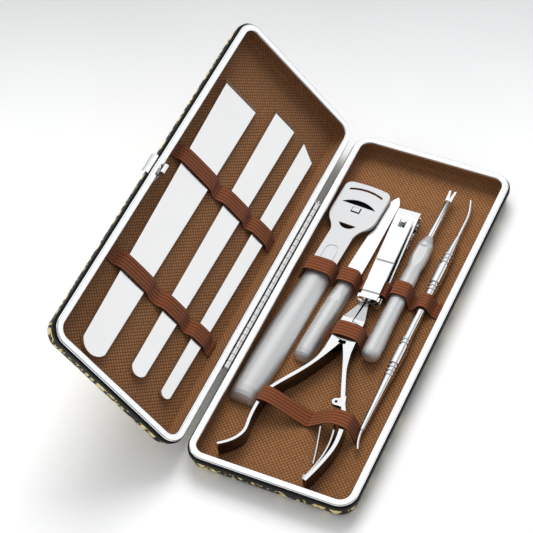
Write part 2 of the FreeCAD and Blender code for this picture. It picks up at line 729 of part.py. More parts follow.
def corn_plane():
    """A callus shaver: domed sheet handle, slotted head, razor blade and the clamp that holds it."""
    place = lying(base_place, PLANE_SHARES, size.plane_turn)
    handle = domed_handle("corn_plane_handle", place, tool.plane_handle_length, tool.plane_handle_width,
                          size.plane_handle_height, PLANE_HANDLE_SHARES)
    underside = new_sketch(handle, "XY_Plane", -size.overrun)
    half = tool.plane_handle_width * (hollow_width_share / 2)
    rectangle(underside, -half, half, tool.plane_handle_length * hollow_start_share,
              tool.plane_handle_length * hollow_end_share)
    pocket(handle, underside, size.plane_handle_height * hollow_height_share + size.overrun, reverse=True)
    plate_low = size.plane_plate_height
    plate_high = plate_low + size.plane_plate_thickness
    tang = tool.plane_neck_width * (tang_share / 2)
    tang_slot(handle, tool.plane_handle_length, size.plane_neck_insert, tang + size.fit_gap,
              plate_low - size.fit_gap, plate_high + size.fit_gap)

    head = new_body("corn_plane_head", place)
    plan = new_sketch(head, "XY_Plane", plate_low)
    neck = tool.plane_neck_width / 2
    broad = tool.plane_head_width / 2
    half_way = neck + (broad - neck) * shoulder_width_share
    root = tool.plane_handle_length
    shoulder = tool.plane_length - tool.plane_head_length
    bend = tool.plane_head_length * shoulder_bend_share
    corner = size.plane_head_corner
    flat = broad - corner
    drop = flat * flat / (size.plane_head_crown * 2.0)
    top = tool.plane_length - drop
    middle_up = shoulder + tool.plane_head_length * shoulder_half_share
    sides_up = shoulder + tool.plane_head_length * shoulder_end_share
    outline(plan, [
        (tang, root - size.plane_neck_insert), (tang, root), (neck, root), (neck, shoulder, -bend),
        (half_way, middle_up, bend), (broad, sides_up), (broad, top - corner, corner),
        (flat, top, size.plane_head_crown), (-flat, top, corner), (-broad, top - corner),
        (-broad, sides_up, bend), (-half_way, middle_up, -bend), (-neck, shoulder), (-neck, root),
        (-tang, root),
        (-tang, root - size.plane_neck_insert)])
    pad(head, plan, size.plane_plate_thickness)
    round_edges(head, lambda edge: at_height(plate_high)(edge) and edge.BoundBox.YMin > root.value + NEAR,
                size.plane_plate_round)

    openings = new_sketch(head, "XY_Plane", plate_high + size.overrun)
    reach = tool.plane_slot_length / 2
    slot_y = shoulder + tool.plane_head_length * slot_place_share
    outline(openings, [(-reach, slot_y), (reach, slot_y, dome_radius(reach, size.plane_slot_width))])
    slit_y = shoulder + tool.plane_head_length * slit_place_share
    slit_half = reach * slit_length_share
    slit_bend = dome_radius(slit_half, tool.plane_slot_length * slit_rise_share)
    slit_high = slit_y + size.plane_slit_width
    outline(openings, [
        (-slit_half, slit_y, -slit_bend), (slit_half, slit_y), (slit_half, slit_high, slit_bend),
        (-slit_half, slit_high)])
    moon = tool.plane_crescent_length / 2
    moon_y = shoulder + tool.plane_head_length * crescent_place_share
    outline(openings, [(-moon, moon_y, dome_radius(moon, size.plane_crescent_width)), (moon, moon_y)])
    window = size.plane_window_width / 2
    window_low = shoulder + tool.plane_head_length * window_place_share
    window_high = window_low + size.plane_window_length
    rectangle(openings, -window, window, window_low, window_high)
    pocket(head, openings, size.plane_plate_thickness + size.overrun * 2)

    oval = new_sketch(head, "XY_Plane", plate_high + size.overrun)
    oval_y = root + (shoulder - root) * (oval_place_share / 2)
    wide = tool.plane_neck_width * oval_width_share
    long = tool.plane_neck_width * oval_length_share
    line = tool.plane_neck_width * oval_line_share
    rounded_rectangle(oval, wide, long, wide * oval_corner_share, oval_y)
    rounded_rectangle(oval, wide - line, long - line, (wide - line) * oval_corner_share, oval_y)
    pocket(head, oval, size.overrun + size.plane_plate_thickness * oval_depth_share)

    blade = new_body("corn_plane_blade", place)
    blade_low = plate_low - size.plane_blade_thickness
    blade_top = slot_y + size.plane_slot_width * blade_edge_share
    plan = new_sketch(blade, "XY_Plane", blade_low)
    rectangle(plan, -tool.plane_blade_length / 2, tool.plane_blade_length / 2,
              blade_top - size.plane_blade_width, blade_top)
    rectangle(plan, -window, window, window_low, window_high)
    pad(blade, plan, size.plane_blade_thickness)

    clamp = new_body("corn_plane_clamp", place)
    clamp_low = blade_low - size.plane_clamp_thickness
    gap = size.plane_tongue_gap
    clamp_radius = tool.plane_clamp_diameter / 2
    plan = new_sketch(clamp, "XY_Plane", clamp_low)
    circle(plan, ZERO, moon_y + gap + clamp_radius, clamp_radius)
    pad(clamp, plan, size.plane_clamp_thickness)
    tongue = new_sketch(clamp, "XY_Plane", clamp_low)
    rectangle(tongue, gap - window, window - gap, window_low + gap, window_high - gap)
    pad(clamp, tongue, plate_high + size.plane_tongue_proud - clamp_low)


blade_edge_share = 0.15


# Nail file

FILE_SHARES = (-0.3764, -0.323)
FILE_HANDLE_SHARES = (
    (0.0, 0.42, 0.28), (0.008, 0.62, 0.48), (0.02, 0.78, 0.67), (0.042, 0.91, 0.84), (0.085, 0.98, 0.94),
    (0.15, 1.0, 0.98), (0.6, 1.0, 1.0),
    (0.85, 0.96, 0.92), (1.0, 0.92, 0.84))
facet_place_share = 0.72
file_tang_share = 0.55
file_waist_share = 0.65
file_neck_share = 0.955
file_waist_width_share = 0.92
file_neck_width_share = 0.62
file_tip_bend_share = 0.12


def nail_file():
    """A pointed steel file in a domed handle with a thumb facet."""
    place = lying(base_place, FILE_SHARES, size.file_turn)
    handle = domed_handle("nail_file_handle", place, tool.file_handle_length, tool.file_handle_width,
                          size.file_handle_height, FILE_HANDLE_SHARES)
    facet = new_sketch(handle, "YZ_Plane")
    start = tool.file_handle_length * facet_place_share
    high = size.file_handle_height
    outline(facet, [
        (start, high - size.file_facet_depth), (start + size.file_facet_length, high),
        (start + size.file_facet_length, high + size.overrun), (start, high + size.overrun)])
    pocket(handle, facet, tool.file_handle_width * wide_cut_share, both_ways=True)
    low = size.file_blade_height
    tang = tool.file_blade_width * (file_tang_share / 2)
    tang_slot(handle, tool.file_handle_length, size.file_tang, tang + size.fit_gap, low - size.fit_gap,
              low + size.file_blade_thickness + size.fit_gap)

    blade = new_body("nail_file_blade", place)
    plan = new_sketch(blade, "XY_Plane", low)
    half = tool.file_blade_width / 2
    root = tool.file_handle_length
    waist = half * file_waist_width_share
    neck = half * file_neck_width_share
    waist_y = tool.file_length * file_waist_share
    neck_y = tool.file_length * file_neck_share
    bend = tool.file_length * file_tip_bend_share
    outline(plan, [
        (tang, root - size.file_tang), (tang, root), (half, root), (waist, waist_y), (neck, neck_y, bend),
        (ZERO, tool.file_length, bend), (-neck, neck_y), (-waist, waist_y), (-half, root), (-tang, root),
        (-tang, root - size.file_tang)])
    pad(blade, plan, size.file_blade_thickness)


# Nail clipper

CLIPPER_SHARES = (0.068, 0.081)
clipper_flat_share = 0.18
jaw_slope_share = 0.046
jaw_land_share = 0.011
jaw_back_share = 0.08
jaw_foot_share = 0.55
crease_place_share = 0.39
crease_width_share = 0.016
slot_room_share = 2.6
lip_drop_share = 0.8
lip_rise_share = 0.4
rivet_head_share = 1.45
rivet_dome_share = 0.3


def side_plate(body, corners, width):
    """A plate of even width across the tool, drawn from its side."""
    profile = new_sketch(body, "YZ_Plane")
    outline(profile, corners)
    return pad(body, profile, width, both_ways=True)


def bore(body, along, radius, height):
    """An upright round hole right through, at one place along the tool."""
    hole = new_sketch(body, "XY_Plane", height + size.overrun)
    circle(hole, ZERO, along, radius)
    pocket(body, hole, height + size.overrun * 2)


def upright_at(along):
    """Choose the upright edges that stand at one place along the tool."""
    return lambda edge: edge.BoundBox.ZLength > NEAR and (
        abs(edge.BoundBox.YMin - along.value) < NEAR and abs(edge.BoundBox.YMax - along.value) < NEAR)


def clipper():
    """Two sprung arms riveted at the tail, a pin through their jaws and the folding lever on the pin."""
    place = lying(base_place, CLIPPER_SHARES, size.clipper_turn)
    thick = size.clipper_arm_thickness
    front = tool.clipper_length
    slope = front * (1.0 - jaw_slope_share)
    land = front * (1.0 - jaw_land_share)
    back = front * (1.0 - jaw_back_share)
    hole = size.clipper_pin_radius + size.clipper_pin_clearance

    lower = new_body("clipper_lower_arm", place)
    side_plate(lower, [
        (ZERO, ZERO), (back, ZERO), (front, thick * jaw_foot_share), (front, size.clipper_jaw_height),
        (land, size.clipper_jaw_height), (slope, thick), (ZERO, thick)], tool.clipper_width)
    round_edges(lower, upright_at(ZERO), size.clipper_corner)
    bore(lower, tool.clipper_pin_place, size.clipper_pin_radius + size.fit_gap, size.clipper_jaw_height)
    bore(lower, size.clipper_rivet_place, size.clipper_rivet_radius + size.fit_gap, thick)

    upper = new_body("clipper_upper_arm", place)
    start = thick + size.clipper_arm_gap
    flat = front * clipper_flat_share
    edge = size.clipper_jaw_height + size.clipper_jaw_gap
    top = start + size.clipper_spread + thick
    side_plate(upper, [
        (ZERO, start), (flat, start), (slope, start + size.clipper_spread), (land, edge), (front, edge),
        (front, top - thick * jaw_foot_share / 2), (back, top), (flat, start + thick),
        (ZERO, start + thick)], tool.clipper_width)
    round_edges(upper, upright_at(ZERO), size.clipper_corner)
    pin_slot = new_sketch(upper, "XY_Plane", top + size.overrun)
    rectangle(pin_slot, -hole, hole, tool.clipper_pin_place - hole * slot_room_share,
              tool.clipper_pin_place + hole)
    pocket(upper, pin_slot, top + size.overrun * 2)
    bore(upper, size.clipper_rivet_place, size.clipper_rivet_radius + size.clipper_arm_gap, top)

    run = (tool.clipper_pin_place - flat) / (slope - flat)
    arm_top = start + thick + size.clipper_spread * run
    lever_low = arm_top + size.lever_lift
    lever_high = lever_low + size.lever_thickness
    heel = tool.clipper_pin_place + size.lever_heel
    tail_low = size.lever_tail_height
    tail_high = tail_low + size.lever_thickness
    lip = size.lever_lip_length

    rivet = new_body("clipper_rivet", place)
    profile = new_sketch(rivet, "XZ_Plane", -size.clipper_rivet_place)
    rod = size.clipper_rivet_radius
    seat = start + thick + size.clipper_arm_gap
    crown = seat + rod * rivet_dome_share
    outline(profile, [
        (ZERO, ZERO), (rod, ZERO), (rod, seat), (rod * rivet_head_share, seat),
        (rod, crown), (ZERO, crown)])
    turn(rivet, profile)

    pin = new_body("clipper_pin", place)
    profile = new_sketch(pin, "XY_Plane")
    circle(profile, ZERO, tool.clipper_pin_place, size.clipper_pin_radius)
    pad(pin, profile, lever_high)

    lever = new_body("clipper_lever", place)
    lip_low = tail_low - size.lever_thickness * lip_drop_share
    lip_high = tail_low + size.lever_thickness * lip_rise_share
    side_plate(lever, [
        (ZERO, tail_low), (lip, tail_low), (heel, lever_low), (heel, lever_high), (lip, tail_high),
        (ZERO, tail_high)], tool.lever_width)
    side_plate(lever, [
        (ZERO, lip_low), (lip, lip_low), (lip, lip_high), (ZERO, lip_high)], tool.lever_lip_width)
    slot = new_sketch(lever, "XY_Plane", lever_high + size.overrun)
    rectangle(slot, -hole, hole, tool.clipper_pin_place - hole * slot_room_share, heel + size.overrun)
    pocket(lever, slot, size.lever_thickness + size.lever_lift + size.overrun)
    crease_y = front * crease_place_share
    climb = (crease_y - lip) / (heel - lip)
    crease_top = tail_high + (lever_high - tail_high) * climb
    crease = new_sketch(lever, "XY_Plane", crease_top + size.overrun)
    half = tool.lever_width / 2 + size.overrun
    rectangle(crease, -half, half, crease_y, crease_y + front * crease_width_share)
    pocket(lever, crease, size.overrun + size.lever_crease)
    groove = new_sketch(lever, "XY_Plane", tail_high + size.overrun)
    rectangle(groove, -half, half, lip, lip + front * crease_width_share * 2)
    pocket(lever, groove, size.overrun + size.lever_crease)


# Cuticle fork

FORK_SHARES = (0.405, -0.223)
FORK_TAIL_SHARES = (
    (0.0, 0.4), (0.004, 0.58), (0.011, 0.75), (0.022, 0.89), (0.036, 0.97), (0.052, 1.0), (0.12, 1.0))
FORK_HANDLE_SHARES = ((0.3, 1.0), (0.66, 0.98), (0.73, 0.88), (0.8, 1.04), (0.86, 1.04), (0.93, 0.95))
fork_collar_share = 1.25
facet_low_share = 0.735
facet_high_share = 0.9
prong_root_share = 0.25
prong_width_share = 0.26


def cuticle_fork():
    """A turned handle with a thumb facet, and a thin shaft that ends in a sharpened fork."""
    place = lying(base_place, FORK_SHARES)
    axis = tool.fork_tail_radius
    length = tool.fork_handle_length
    shaft = size.fork_shaft_radius
    handle = new_body("cuticle_fork_handle", place)
    profile = new_sketch(handle, "XY_Plane", axis)
    outline(profile, [(ZERO, ZERO)]
            + [(tool.fork_tail_radius * out, length * along) for along, out in FORK_TAIL_SHARES]
            + [(tool.fork_handle_radius * out, length * along) for along, out in FORK_HANDLE_SHARES]
            + [(shaft * fork_collar_share, length), (ZERO, length)])
    turn(handle, profile)
    facet = new_sketch(handle, "XY_Plane", axis + tool.fork_handle_radius - size.fork_facet_depth)
    half = tool.fork_handle_radius
    rectangle(facet, -half, half, length * facet_low_share, length * facet_high_share)
    pocket(handle, facet, size.fork_facet_depth + size.overrun, reverse=True)
    socket = new_sketch(handle, "XZ_Plane", -(length + size.overrun))
    circle(socket, ZERO, axis, shaft + size.fit_gap)
    pocket(handle, socket, size.fork_shaft_insert + size.overrun, reverse=True)

    fork = new_body("cuticle_fork_shaft", place)
    root = tool.fork_length - size.fork_prong_length
    profile = new_sketch(fork, "XZ_Plane", -(length - size.fork_shaft_insert))
    circle(profile, ZERO, axis, shaft)
    pad(fork, profile, root - length + size.fork_shaft_insert, reverse=True)
    prongs = new_sketch(fork, "XY_Plane", axis - size.fork_prong_thickness / 2)
    wide = size.fork_prong_spread / 2
    point = wide - size.fork_prong_spread * prong_width_share
    crotch = root + size.fork_prong_length * prong_root_share
    outline(prongs, [
        (-shaft, root), (shaft, root), (wide, tool.fork_length), (point, tool.fork_length), (ZERO, crotch),
        (-point, tool.fork_length), (-wide, tool.fork_length)])
    pad(fork, prongs, size.fork_prong_thickness)


# Pick

PICK_SHARES = (0.722, -0.690)
PICK_GRIP_SHARES = ((0.315, 0.39), (0.645, 0.724))
PICK_BEAD_SHARES = (0.27, 0.285, 0.3, 0.395, 0.41, 0.615, 0.63, 0.73, 0.745, 0.76)
bead_length_share = 0.011
bead_crown_share = 0.3
pick_tail_share = 0.066
pick_head_share = 0.842
pick_tail_thick_share = 0.27
pick_head_thick_share = 0.755
pick_neck_share = 0.56
pick_sweep_share = 0.915


def pick_profile_shares():
    """The grips and beads in order along the handle: start, end and whether it is a bead."""
    grips = [(low, high, False) for low, high in PICK_GRIP_SHARES]
    beads = [(start, start + bead_length_share, True) for start in PICK_BEAD_SHARES]
    return sorted(grips + beads)


def bent_tip(label, place, axis, corners):
    """A thin wire tip along a path of runs and arcs."""
    body = new_body(label, place)
    path = new_sketch(body, "XY_Plane", axis)
    outline(path, corners, closed=False)
    section = new_sketch(body, "XZ_Plane", -corners[0][1])
    circle(section, ZERO, axis, size.pick_tip_radius)
    feature = body.newObject("PartDesign::AdditivePipe", f"{label}_pipe")
    feature.Profile = section
    feature.Spine = (path, [f"Edge{number}" for number in range(1, len(corners))])
    doc.recompute()


def pick():
    """A turned double-ended pick: beaded grips, a curved tip at the head and a kicked tip at the tail."""
    place = lying(base_place, PICK_SHARES)
    axis = tool.pick_grip_radius
    length = tool.pick_length
    rod = tool.pick_radius
    neck = rod * pick_neck_share
    handle = new_body("pick_handle", place)
    profile = new_sketch(handle, "XY_Plane", axis)
    corners = [(ZERO, length * pick_tail_share), (neck, length * pick_tail_share)]
    for start, end, is_bead in pick_profile_shares():
        crown = tool.pick_bead_radius if is_bead else tool.pick_grip_radius
        shy = (end - start) * bead_crown_share if is_bead else bead_length_share * bead_crown_share
        corners += [(rod, length * start), (crown, length * (start + shy)), (crown, length * (end - shy)),
                    (rod, length * end)]
    corners += [(neck, length * pick_head_share), (ZERO, length * pick_head_share)]
    outline(profile, corners)
    turn(handle, profile)
    depth = size.pick_tip_insert + size.overrun
    for end, outward in ((length * pick_head_share, 1.0), (length * pick_tail_share, -1.0)):
        socket = new_sketch(handle, "XZ_Plane", -(end + size.overrun * outward))
        circle(socket, ZERO, axis, size.pick_tip_radius + size.fit_gap)
        pocket(handle, socket, depth, reverse=outward > 0)

    tail = length * pick_tail_share
    kick = size.pick_tail_kick
    bent_tip("pick_kicked_tip", place, axis, [
        (ZERO, tail + size.pick_tip_insert), (ZERO, tail, dome_radius(tail, kick)), (kick, ZERO)])
    sweep = length * pick_sweep_share
    bent_tip("pick_curved_tip", place, axis, [
        (ZERO, length * pick_head_share - size.pick_tip_insert),
        (ZERO, sweep, dome_radius(length - sweep, size.pick_head_kick)), (-size.pick_head_kick, length)])


# Cuticle nipper

NIPPER_SHARES = (0.043, -0.137)
LEFT_HANDLE_SHARES = (
    (-0.036, -0.085, 2.4), (-0.052, -0.14, 1.9), (-0.08, -0.23, 1.0), (-0.151, -0.362, 0.9),
    (-0.222, -0.473, 0.8), (-0.257, -0.545, 0.8), (-0.269, -0.64, 0.75), (-0.264, -0.76, 0.7),
    (-0.259, -0.82, 0.7), (-0.281, -0.882, 0.7), (-0.323, -0.93, 0.65), (-0.36, -0.958, 0.6))
RIGHT_HANDLE_SHARES = (
    (0.036, -0.085, 2.4), (0.055, -0.14, 1.9), (0.08, -0.23, 1.1), (0.12, -0.345, 1.0), (0.177, -0.485, 1.0),
    (0.207, -0.547, 1.0), (0.226, -0.633, 1.0), (0.232, -0.732, 0.9), (0.22, -0.818, 0.85),
    (0.195, -0.917, 0.8), (0.17, -0.998, 0.7))
INNER_LEAF_SHARES = (
    (0.152, -0.988, 1.0), (0.174, -0.914, 1.0), (0.193, -0.815, 1.0), (0.196, -0.722, 1.0),
    (0.183, -0.63, 1.0), (0.158, -0.556, 1.0))
THIN_LEAF_SHARES = ((0.166, -0.877, 0.7), (0.15, -0.8, 0.7), (0.13, -0.72, 0.7), (0.108, -0.64, 0.7))
JAW_SHARES = ((0.94, 0.29), (0.9, 0.4), (0.28, 1.0))
jaw_gap_root_share = 0.4
jaw_root_share = 0.29
jaw_bridge_share = 0.36
jaw_point_share = 0.52
LUG_SHARES = ((0.128, -0.446), (0.166, -0.415), (0.186, -0.49), (0.128, -0.49))
LUG_EYE_SHARES = (0.128, -0.468)
screw_place_share = -0.95


def ribbon(shares, thickness, low, high):
    """A strip stood on edge along a smooth line, in shares of the nipper's spread, reach and thickness."""
    spread = tool.nipper_handle_spread.value
    reach = tool.nipper_handle_reach.value
    points = [FreeCAD.Vector(x * spread, y * reach, low) for x, y, across in shares]
    lefts = []
    rights = []
    for number, point in enumerate(points):
        ahead = points[min(number + 1, len(points) - 1)] - points[max(number - 1, 0)]
        across = FreeCAD.Vector(-ahead.y, ahead.x, 0).normalize() * (thickness * shares[number][2] / 2)
        lefts.append(point + across)
        rights.append(point - across)
    edges = []
    for side in (lefts, rights):
        curve = Part.BSplineCurve()
        curve.interpolate(side)
        edges.append(curve.toShape())
    edges.append(Part.LineSegment(lefts[0], rights[0]).toShape())
    edges.append(Part.LineSegment(lefts[-1], rights[-1]).toShape())
    face = Part.Face(Part.Wire(Part.__sortEdges__(edges)))
    return face.extrude(FreeCAD.Vector(0, 0, high - low))


def block(points, low, high):
    """A flat block with upright sides through points x, y."""
    corners = [FreeCAD.Vector(x, y, low) for x, y in points]
    return Part.Face(Part.makePolygon(corners + corners[:1])).extrude(FreeCAD.Vector(0, 0, high - low))


def nipper_half(side, low, high, handle_shares):
    """One half of the nipper: its handle on one side, its lap disc, and its jaw on the other side."""
    disc_radius = tool.nipper_joint_radius.value
    full = size.nipper_height.value
    jaw = tool.nipper_jaw_length.value
    reach = tool.nipper_handle_reach.value
    gap = size.nipper_jaw_gap.value / 2
    root = gap * jaw_gap_root_share
    disc = Part.makeCylinder(disc_radius, high - low, FreeCAD.Vector(0, 0, low))
    jaw_points = [(x * disc_radius, y * jaw) for x, y in JAW_SHARES]
    jaw_points += [(gap, jaw), (root, jaw_root_share * jaw)]
    jaw_solid = block([(-side * x, y) for x, y in jaw_points], 0, full)
    beyond = jaw + size.overrun.value
    point = full * jaw_point_share
    slope_start = jaw_root_share * jaw
    slope = ((slope_start, full), (beyond, point), (beyond, full * 2), (slope_start, full))
    wedge = Part.Face(Part.makePolygon([FreeCAD.Vector(-disc_radius * 2, y, z) for y, z in slope]))
    jaw_solid = jaw_solid.cut(wedge.extrude(FreeCAD.Vector(disc_radius * 4, 0, 0)))
    reach_up = jaw_bridge_share * jaw
    jaw_bridge = block([(-side * x, y) for x, y in (
        (root, 0), (disc_radius, 0), (JAW_SHARES[0][0] * disc_radius, reach_up),
        (root, reach_up))], 0, full)
    first = handle_shares[0]
    second = handle_shares[1]
    half_first = size.nipper_handle_thickness.value * first[2] / 2
    half_second = size.nipper_handle_thickness.value * second[2] / 2
    spread = tool.nipper_handle_spread.value
    handle_bridge = block([
        (side * disc_radius, 0), (first[0] * spread - side * half_first, 0),
        (second[0] * spread - side * half_second, second[1] * reach),
        (second[0] * spread + side * half_second, second[1] * reach)], 0, full)
    handle = ribbon(handle_shares, size.nipper_handle_thickness.value, 0, full)
    other_low, other_high = (0, low) if low > 0 else (high, full)
    lap_room = Part.makeCylinder(
        disc_radius + size.nipper_lap_gap.value, other_high - other_low, FreeCAD.Vector(0, 0, other_low))
    return handle.fuse([jaw_solid, jaw_bridge, handle_bridge]).cut(lap_room).fuse(disc)


def nipper():
    """A lap-jointed cuticle nipper: two halves, pivot screw, leaf springs and the screw that holds them."""
    place = lying(base_place, NIPPER_SHARES)
    full = size.nipper_height.value
    lap_low = (full - size.nipper_lap_gap.value) / 2
    lap_high = (full + size.nipper_lap_gap.value) / 2
    reach = tool.nipper_handle_reach.value
    spread = tool.nipper_handle_spread.value
    pivot = size.nipper_pivot_radius.value
    thick = size.nipper_handle_thickness.value
    hole = Part.makeCylinder(pivot + size.fit_gap.value, full)
    loose_hole = Part.makeCylinder(pivot + size.nipper_pivot_clearance.value, full)
    lug_low = full - size.nipper_lug_thickness.value
    eye = FreeCAD.Vector(LUG_EYE_SHARES[0] * spread, LUG_EYE_SHARES[1] * reach, lug_low)
    lug = block([(x * spread, y * reach) for x, y in LUG_SHARES], lug_low, full)
    lug = lug.fuse(Part.makeCylinder(size.nipper_lug_radius.value, full - lug_low, eye))
    lug_eye = Part.makeCylinder(size.nipper_lug_hole.value, full, eye)
    screw_at = FreeCAD.Vector(0, screw_place_share * reach, full / 2)
    outer = next(share for share in RIGHT_HANDLE_SHARES if share[1] < screw_place_share)
    screw_at.x = outer[0] * spread - size.nipper_leaf_thickness.value - thick
    screw = Part.makeCylinder(size.nipper_screw_radius.value, thick * 2, screw_at, FreeCAD.Vector(1, 0, 0))
    screw_hole = Part.makeCylinder(
        size.nipper_screw_radius.value + size.fit_gap.value, thick * 2, screw_at, FreeCAD.Vector(1, 0, 0))

    right = nipper_half(1, lap_high, full, RIGHT_HANDLE_SHARES).fuse(lug)
    right = right.cut([hole, lug_eye, screw_hole])
    new_solid("nipper_right_half", right.removeSplitter(), place)
    left = nipper_half(-1, 0, lap_low, LEFT_HANDLE_SHARES).cut(loose_hole)
    new_solid("nipper_left_half", left.removeSplitter(), place)

    pin = Part.makeCylinder(pivot, full + size.nipper_pivot_proud.value)
    slot = Part.makeBox(
        pivot * 2, size.nipper_slot_width.value, size.nipper_pivot_proud.value * 2,
        FreeCAD.Vector(-pivot, -size.nipper_slot_width.value / 2, full))
    new_solid("nipper_pivot_screw", pin.cut(slot), place)
    leaf_low = (full - size.nipper_leaf_height.value) / 2
    leaf_high = (full + size.nipper_leaf_height.value) / 2
    inner = ribbon(INNER_LEAF_SHARES, size.nipper_leaf_thickness.value, leaf_low, leaf_high)
    new_solid("nipper_inner_leaf", inner.cut(screw_hole), place)
    thin = ribbon(THIN_LEAF_SHARES, size.nipper_leaf_thickness.value, leaf_low, leaf_high)
    new_solid("nipper_thin_leaf", thin, place)
    new_solid("nipper_leaf_screw", screw, place)


# Elastic straps

spread_share = 0.3
UPPER_KNIFE_STRAP_SHARE = 0.203
LOWER_KNIFE_STRAP_SHARE = -0.462
TOOL_STRAP_SHARE = 0.181
HANDLE_STRAP_SHARE = -0.604
knife_foot_share = 1.1


def strap(label, place, along, left, right, loops):
    """A woven elastic strap across a tray. A loop is (middle, half width on top, at the foot, rise)."""
    thick = size.strap_thickness
    spread = thick * spread_share
    lower = [(left, lining_top)]
    upper = [(left, lining_top + thick)]
    for middle, top, foot, rise in loops:
        high = lining_top + rise
        lower += [(middle - foot, lining_top), (middle - top, high), (middle + top, high),
                  (middle + foot, lining_top)]
        upper += [(middle - foot - spread, lining_top + thick), (middle - top - spread, high + thick),
                  (middle + top + spread, high + thick), (middle + foot + spread, lining_top + thick)]
    lower.append((right, lining_top))
    upper.append((right, lining_top + thick))
    body = new_body(label, place)
    profile = new_sketch(body, "XZ_Plane", -along)
    outline(profile, lower + upper[::-1])
    pad(body, profile, size.strap_width, both_ways=True)


def crossing(place_shares, turned, along):
    """Where a tool's middle line crosses a strap."""
    climb = along - tray_y * place_shares[1]
    return tray_x * place_shares[0] - climb * math.tan(math.radians(turned.value))


def knife_loop(place_shares, turned, along, length, head, tail):
    """The loop of a strap over one knife, wide enough for the knife's width there."""
    rise = along - tray_y * place_shares[1] + size.strap_width
    half = (tail + (head - tail) * (rise / length)) / 2 + size.strap_clearance
    high = size.lie_gap + size.knife_thickness + size.strap_clearance
    return crossing(place_shares, turned, along), half, half + high * knife_foot_share, high


def straps():
    """Two straps over the knives, and three over the tools of the base tray."""
    left = size.strap_end_gap - tray_x
    right = tray_x - size.strap_end_gap
    gap = size.strap_clearance + size.lie_gap
    for label, share in (("knife_strap_upper", UPPER_KNIFE_STRAP_SHARE),
                         ("knife_strap_lower", LOWER_KNIFE_STRAP_SHARE)):
        along = tray_y * share
        strap(label, lid_place, along, left, right, [
            knife_loop(WIDE_KNIFE_SHARES, size.wide_knife_turn, along, tool.wide_knife_length,
                       tool.wide_knife_head, tool.wide_knife_tail),
            knife_loop(MEDIUM_KNIFE_SHARES, size.medium_knife_turn, along, tool.medium_knife_length,
                       tool.medium_knife_head, tool.medium_knife_tail),
            knife_loop(NARROW_KNIFE_SHARES, size.narrow_knife_turn, along, tool.narrow_knife_length,
                       tool.narrow_knife_head, tool.narrow_knife_tail)])
    along = tray_y * TOOL_STRAP_SHARE
    arms = size.clipper_arm_thickness * 2.0 + size.clipper_arm_gap + size.strap_clearance
    strap("tool_strap", base_place, along, left, right, [
        (crossing(PLANE_SHARES, size.plane_turn, along), tool.plane_handle_width * PLANE_LOOP_SHARES[0],
         tool.plane_handle_width * PLANE_LOOP_SHARES[1], size.plane_handle_height + gap),
        (crossing(FILE_SHARES, size.file_turn, along), tool.file_handle_width * FILE_LOOP_SHARES[0],
         tool.file_handle_width * FILE_LOOP_SHARES[1], size.file_handle_height + gap),
        (crossing(CLIPPER_SHARES, size.clipper_turn, along), tool.clipper_width * CLIPPER_LOOP_SHARES[0],
         tool.clipper_width * CLIPPER_LOOP_SHARES[1], arms + gap),
        (tray_x * FORK_SHARES[0], tool.fork_handle_radius * FORK_LOOP_SHARES[0],
         tool.fork_handle_radius * FORK_LOOP_SHARES[1],
         tool.fork_tail_radius + tool.fork_handle_radius + gap),
        (tray_x * PICK_SHARES[0], tool.pick_grip_radius * PICK_LOOP_SHARES[0],
         tool.pick_grip_radius * PICK_LOOP_SHARES[1], tool.pick_grip_radius + tool.pick_radius + gap)])
    middle = tray_x * NIPPER_SHARES[0]
    half = tool.nipper_joint_radius + size.strap_clearance
    foot = half * JAW_LOOP_SHARE
    rise = size.nipper_height + size.nipper_pivot_proud + gap
    end = foot + size.strap_thickness * JAW_END_SHARE
    strap("nipper_jaw_strap", base_place, tray_y * NIPPER_SHARES[1], middle - end, middle + end,
          [(middle, half, foot, rise)])
    handle_strap()


PLANE_LOOP_SHARES = (0.44, 0.55)
FILE_LOOP_SHARES = (0.45, 0.62)
CLIPPER_LOOP_SHARES = (0.55, 0.58)
FORK_LOOP_SHARES = (0.95, 1.3)
PICK_LOOP_SHARES = (0.55, 1.7)
JAW_LOOP_SHARE = 1.3
JAW_END_SHARE = 1.2
HANDLE_STRAP_SPREAD_SHARES = (-0.28, -0.221, -0.005, 0.02, 0.15, 0.25, 0.297)


def handle_strap():
    """The long strap over both nipper handles, sewn down between them."""
    middle = tray_x * NIPPER_SHARES[0]
    leg, ridge, sewn_left, sewn_right, climb, brow, foot = (
        middle + tool.nipper_handle_spread * share for share in HANDLE_STRAP_SPREAD_SHARES)
    thick = size.strap_thickness
    spread = thick * spread_share
    end = foot + thick * JAW_END_SHARE
    floor = lining_top
    high = lining_top + size.nipper_height + size.lie_gap + size.strap_clearance
    body = new_body("nipper_handle_strap", base_place)
    profile = new_sketch(body, "XZ_Plane", -(tray_y * HANDLE_STRAP_SHARE))
    outline(profile, [
        (leg, floor), (leg, high), (ridge, high), (sewn_left, floor), (sewn_right, floor), (climb, high),
        (brow, high), (foot, floor), (end, floor), (end, floor + thick), (foot + spread, floor + thick),
        (brow + spread, high + thick), (climb - spread, high + thick), (sewn_right - spread, floor + thick),
        (sewn_left + spread, floor + thick), (ridge + spread, high + thick), (leg - thick, high + thick),
        (leg - thick, floor)])
    pad(body, profile, size.strap_width, both_ways=True)


latch()
straps()
knives()
corn_plane()
nail_file()
clipper()
cuticle_fork()
pick()
nipper()


# Checks and export


def check_document():
    """Stop if any object failed or any piece is empty or broken."""
    doc.recompute()
    for thing in doc.Objects:
        if "Invalid" in thing.State or "Error" in thing.State:
            raise RuntimeError(f"{thing.Name}: {thing.State}")
    for piece in PIECES:
        if piece.Shape.isNull() or not piece.Shape.isValid():
            raise RuntimeError(f"{piece.Label}: its shape is not valid")


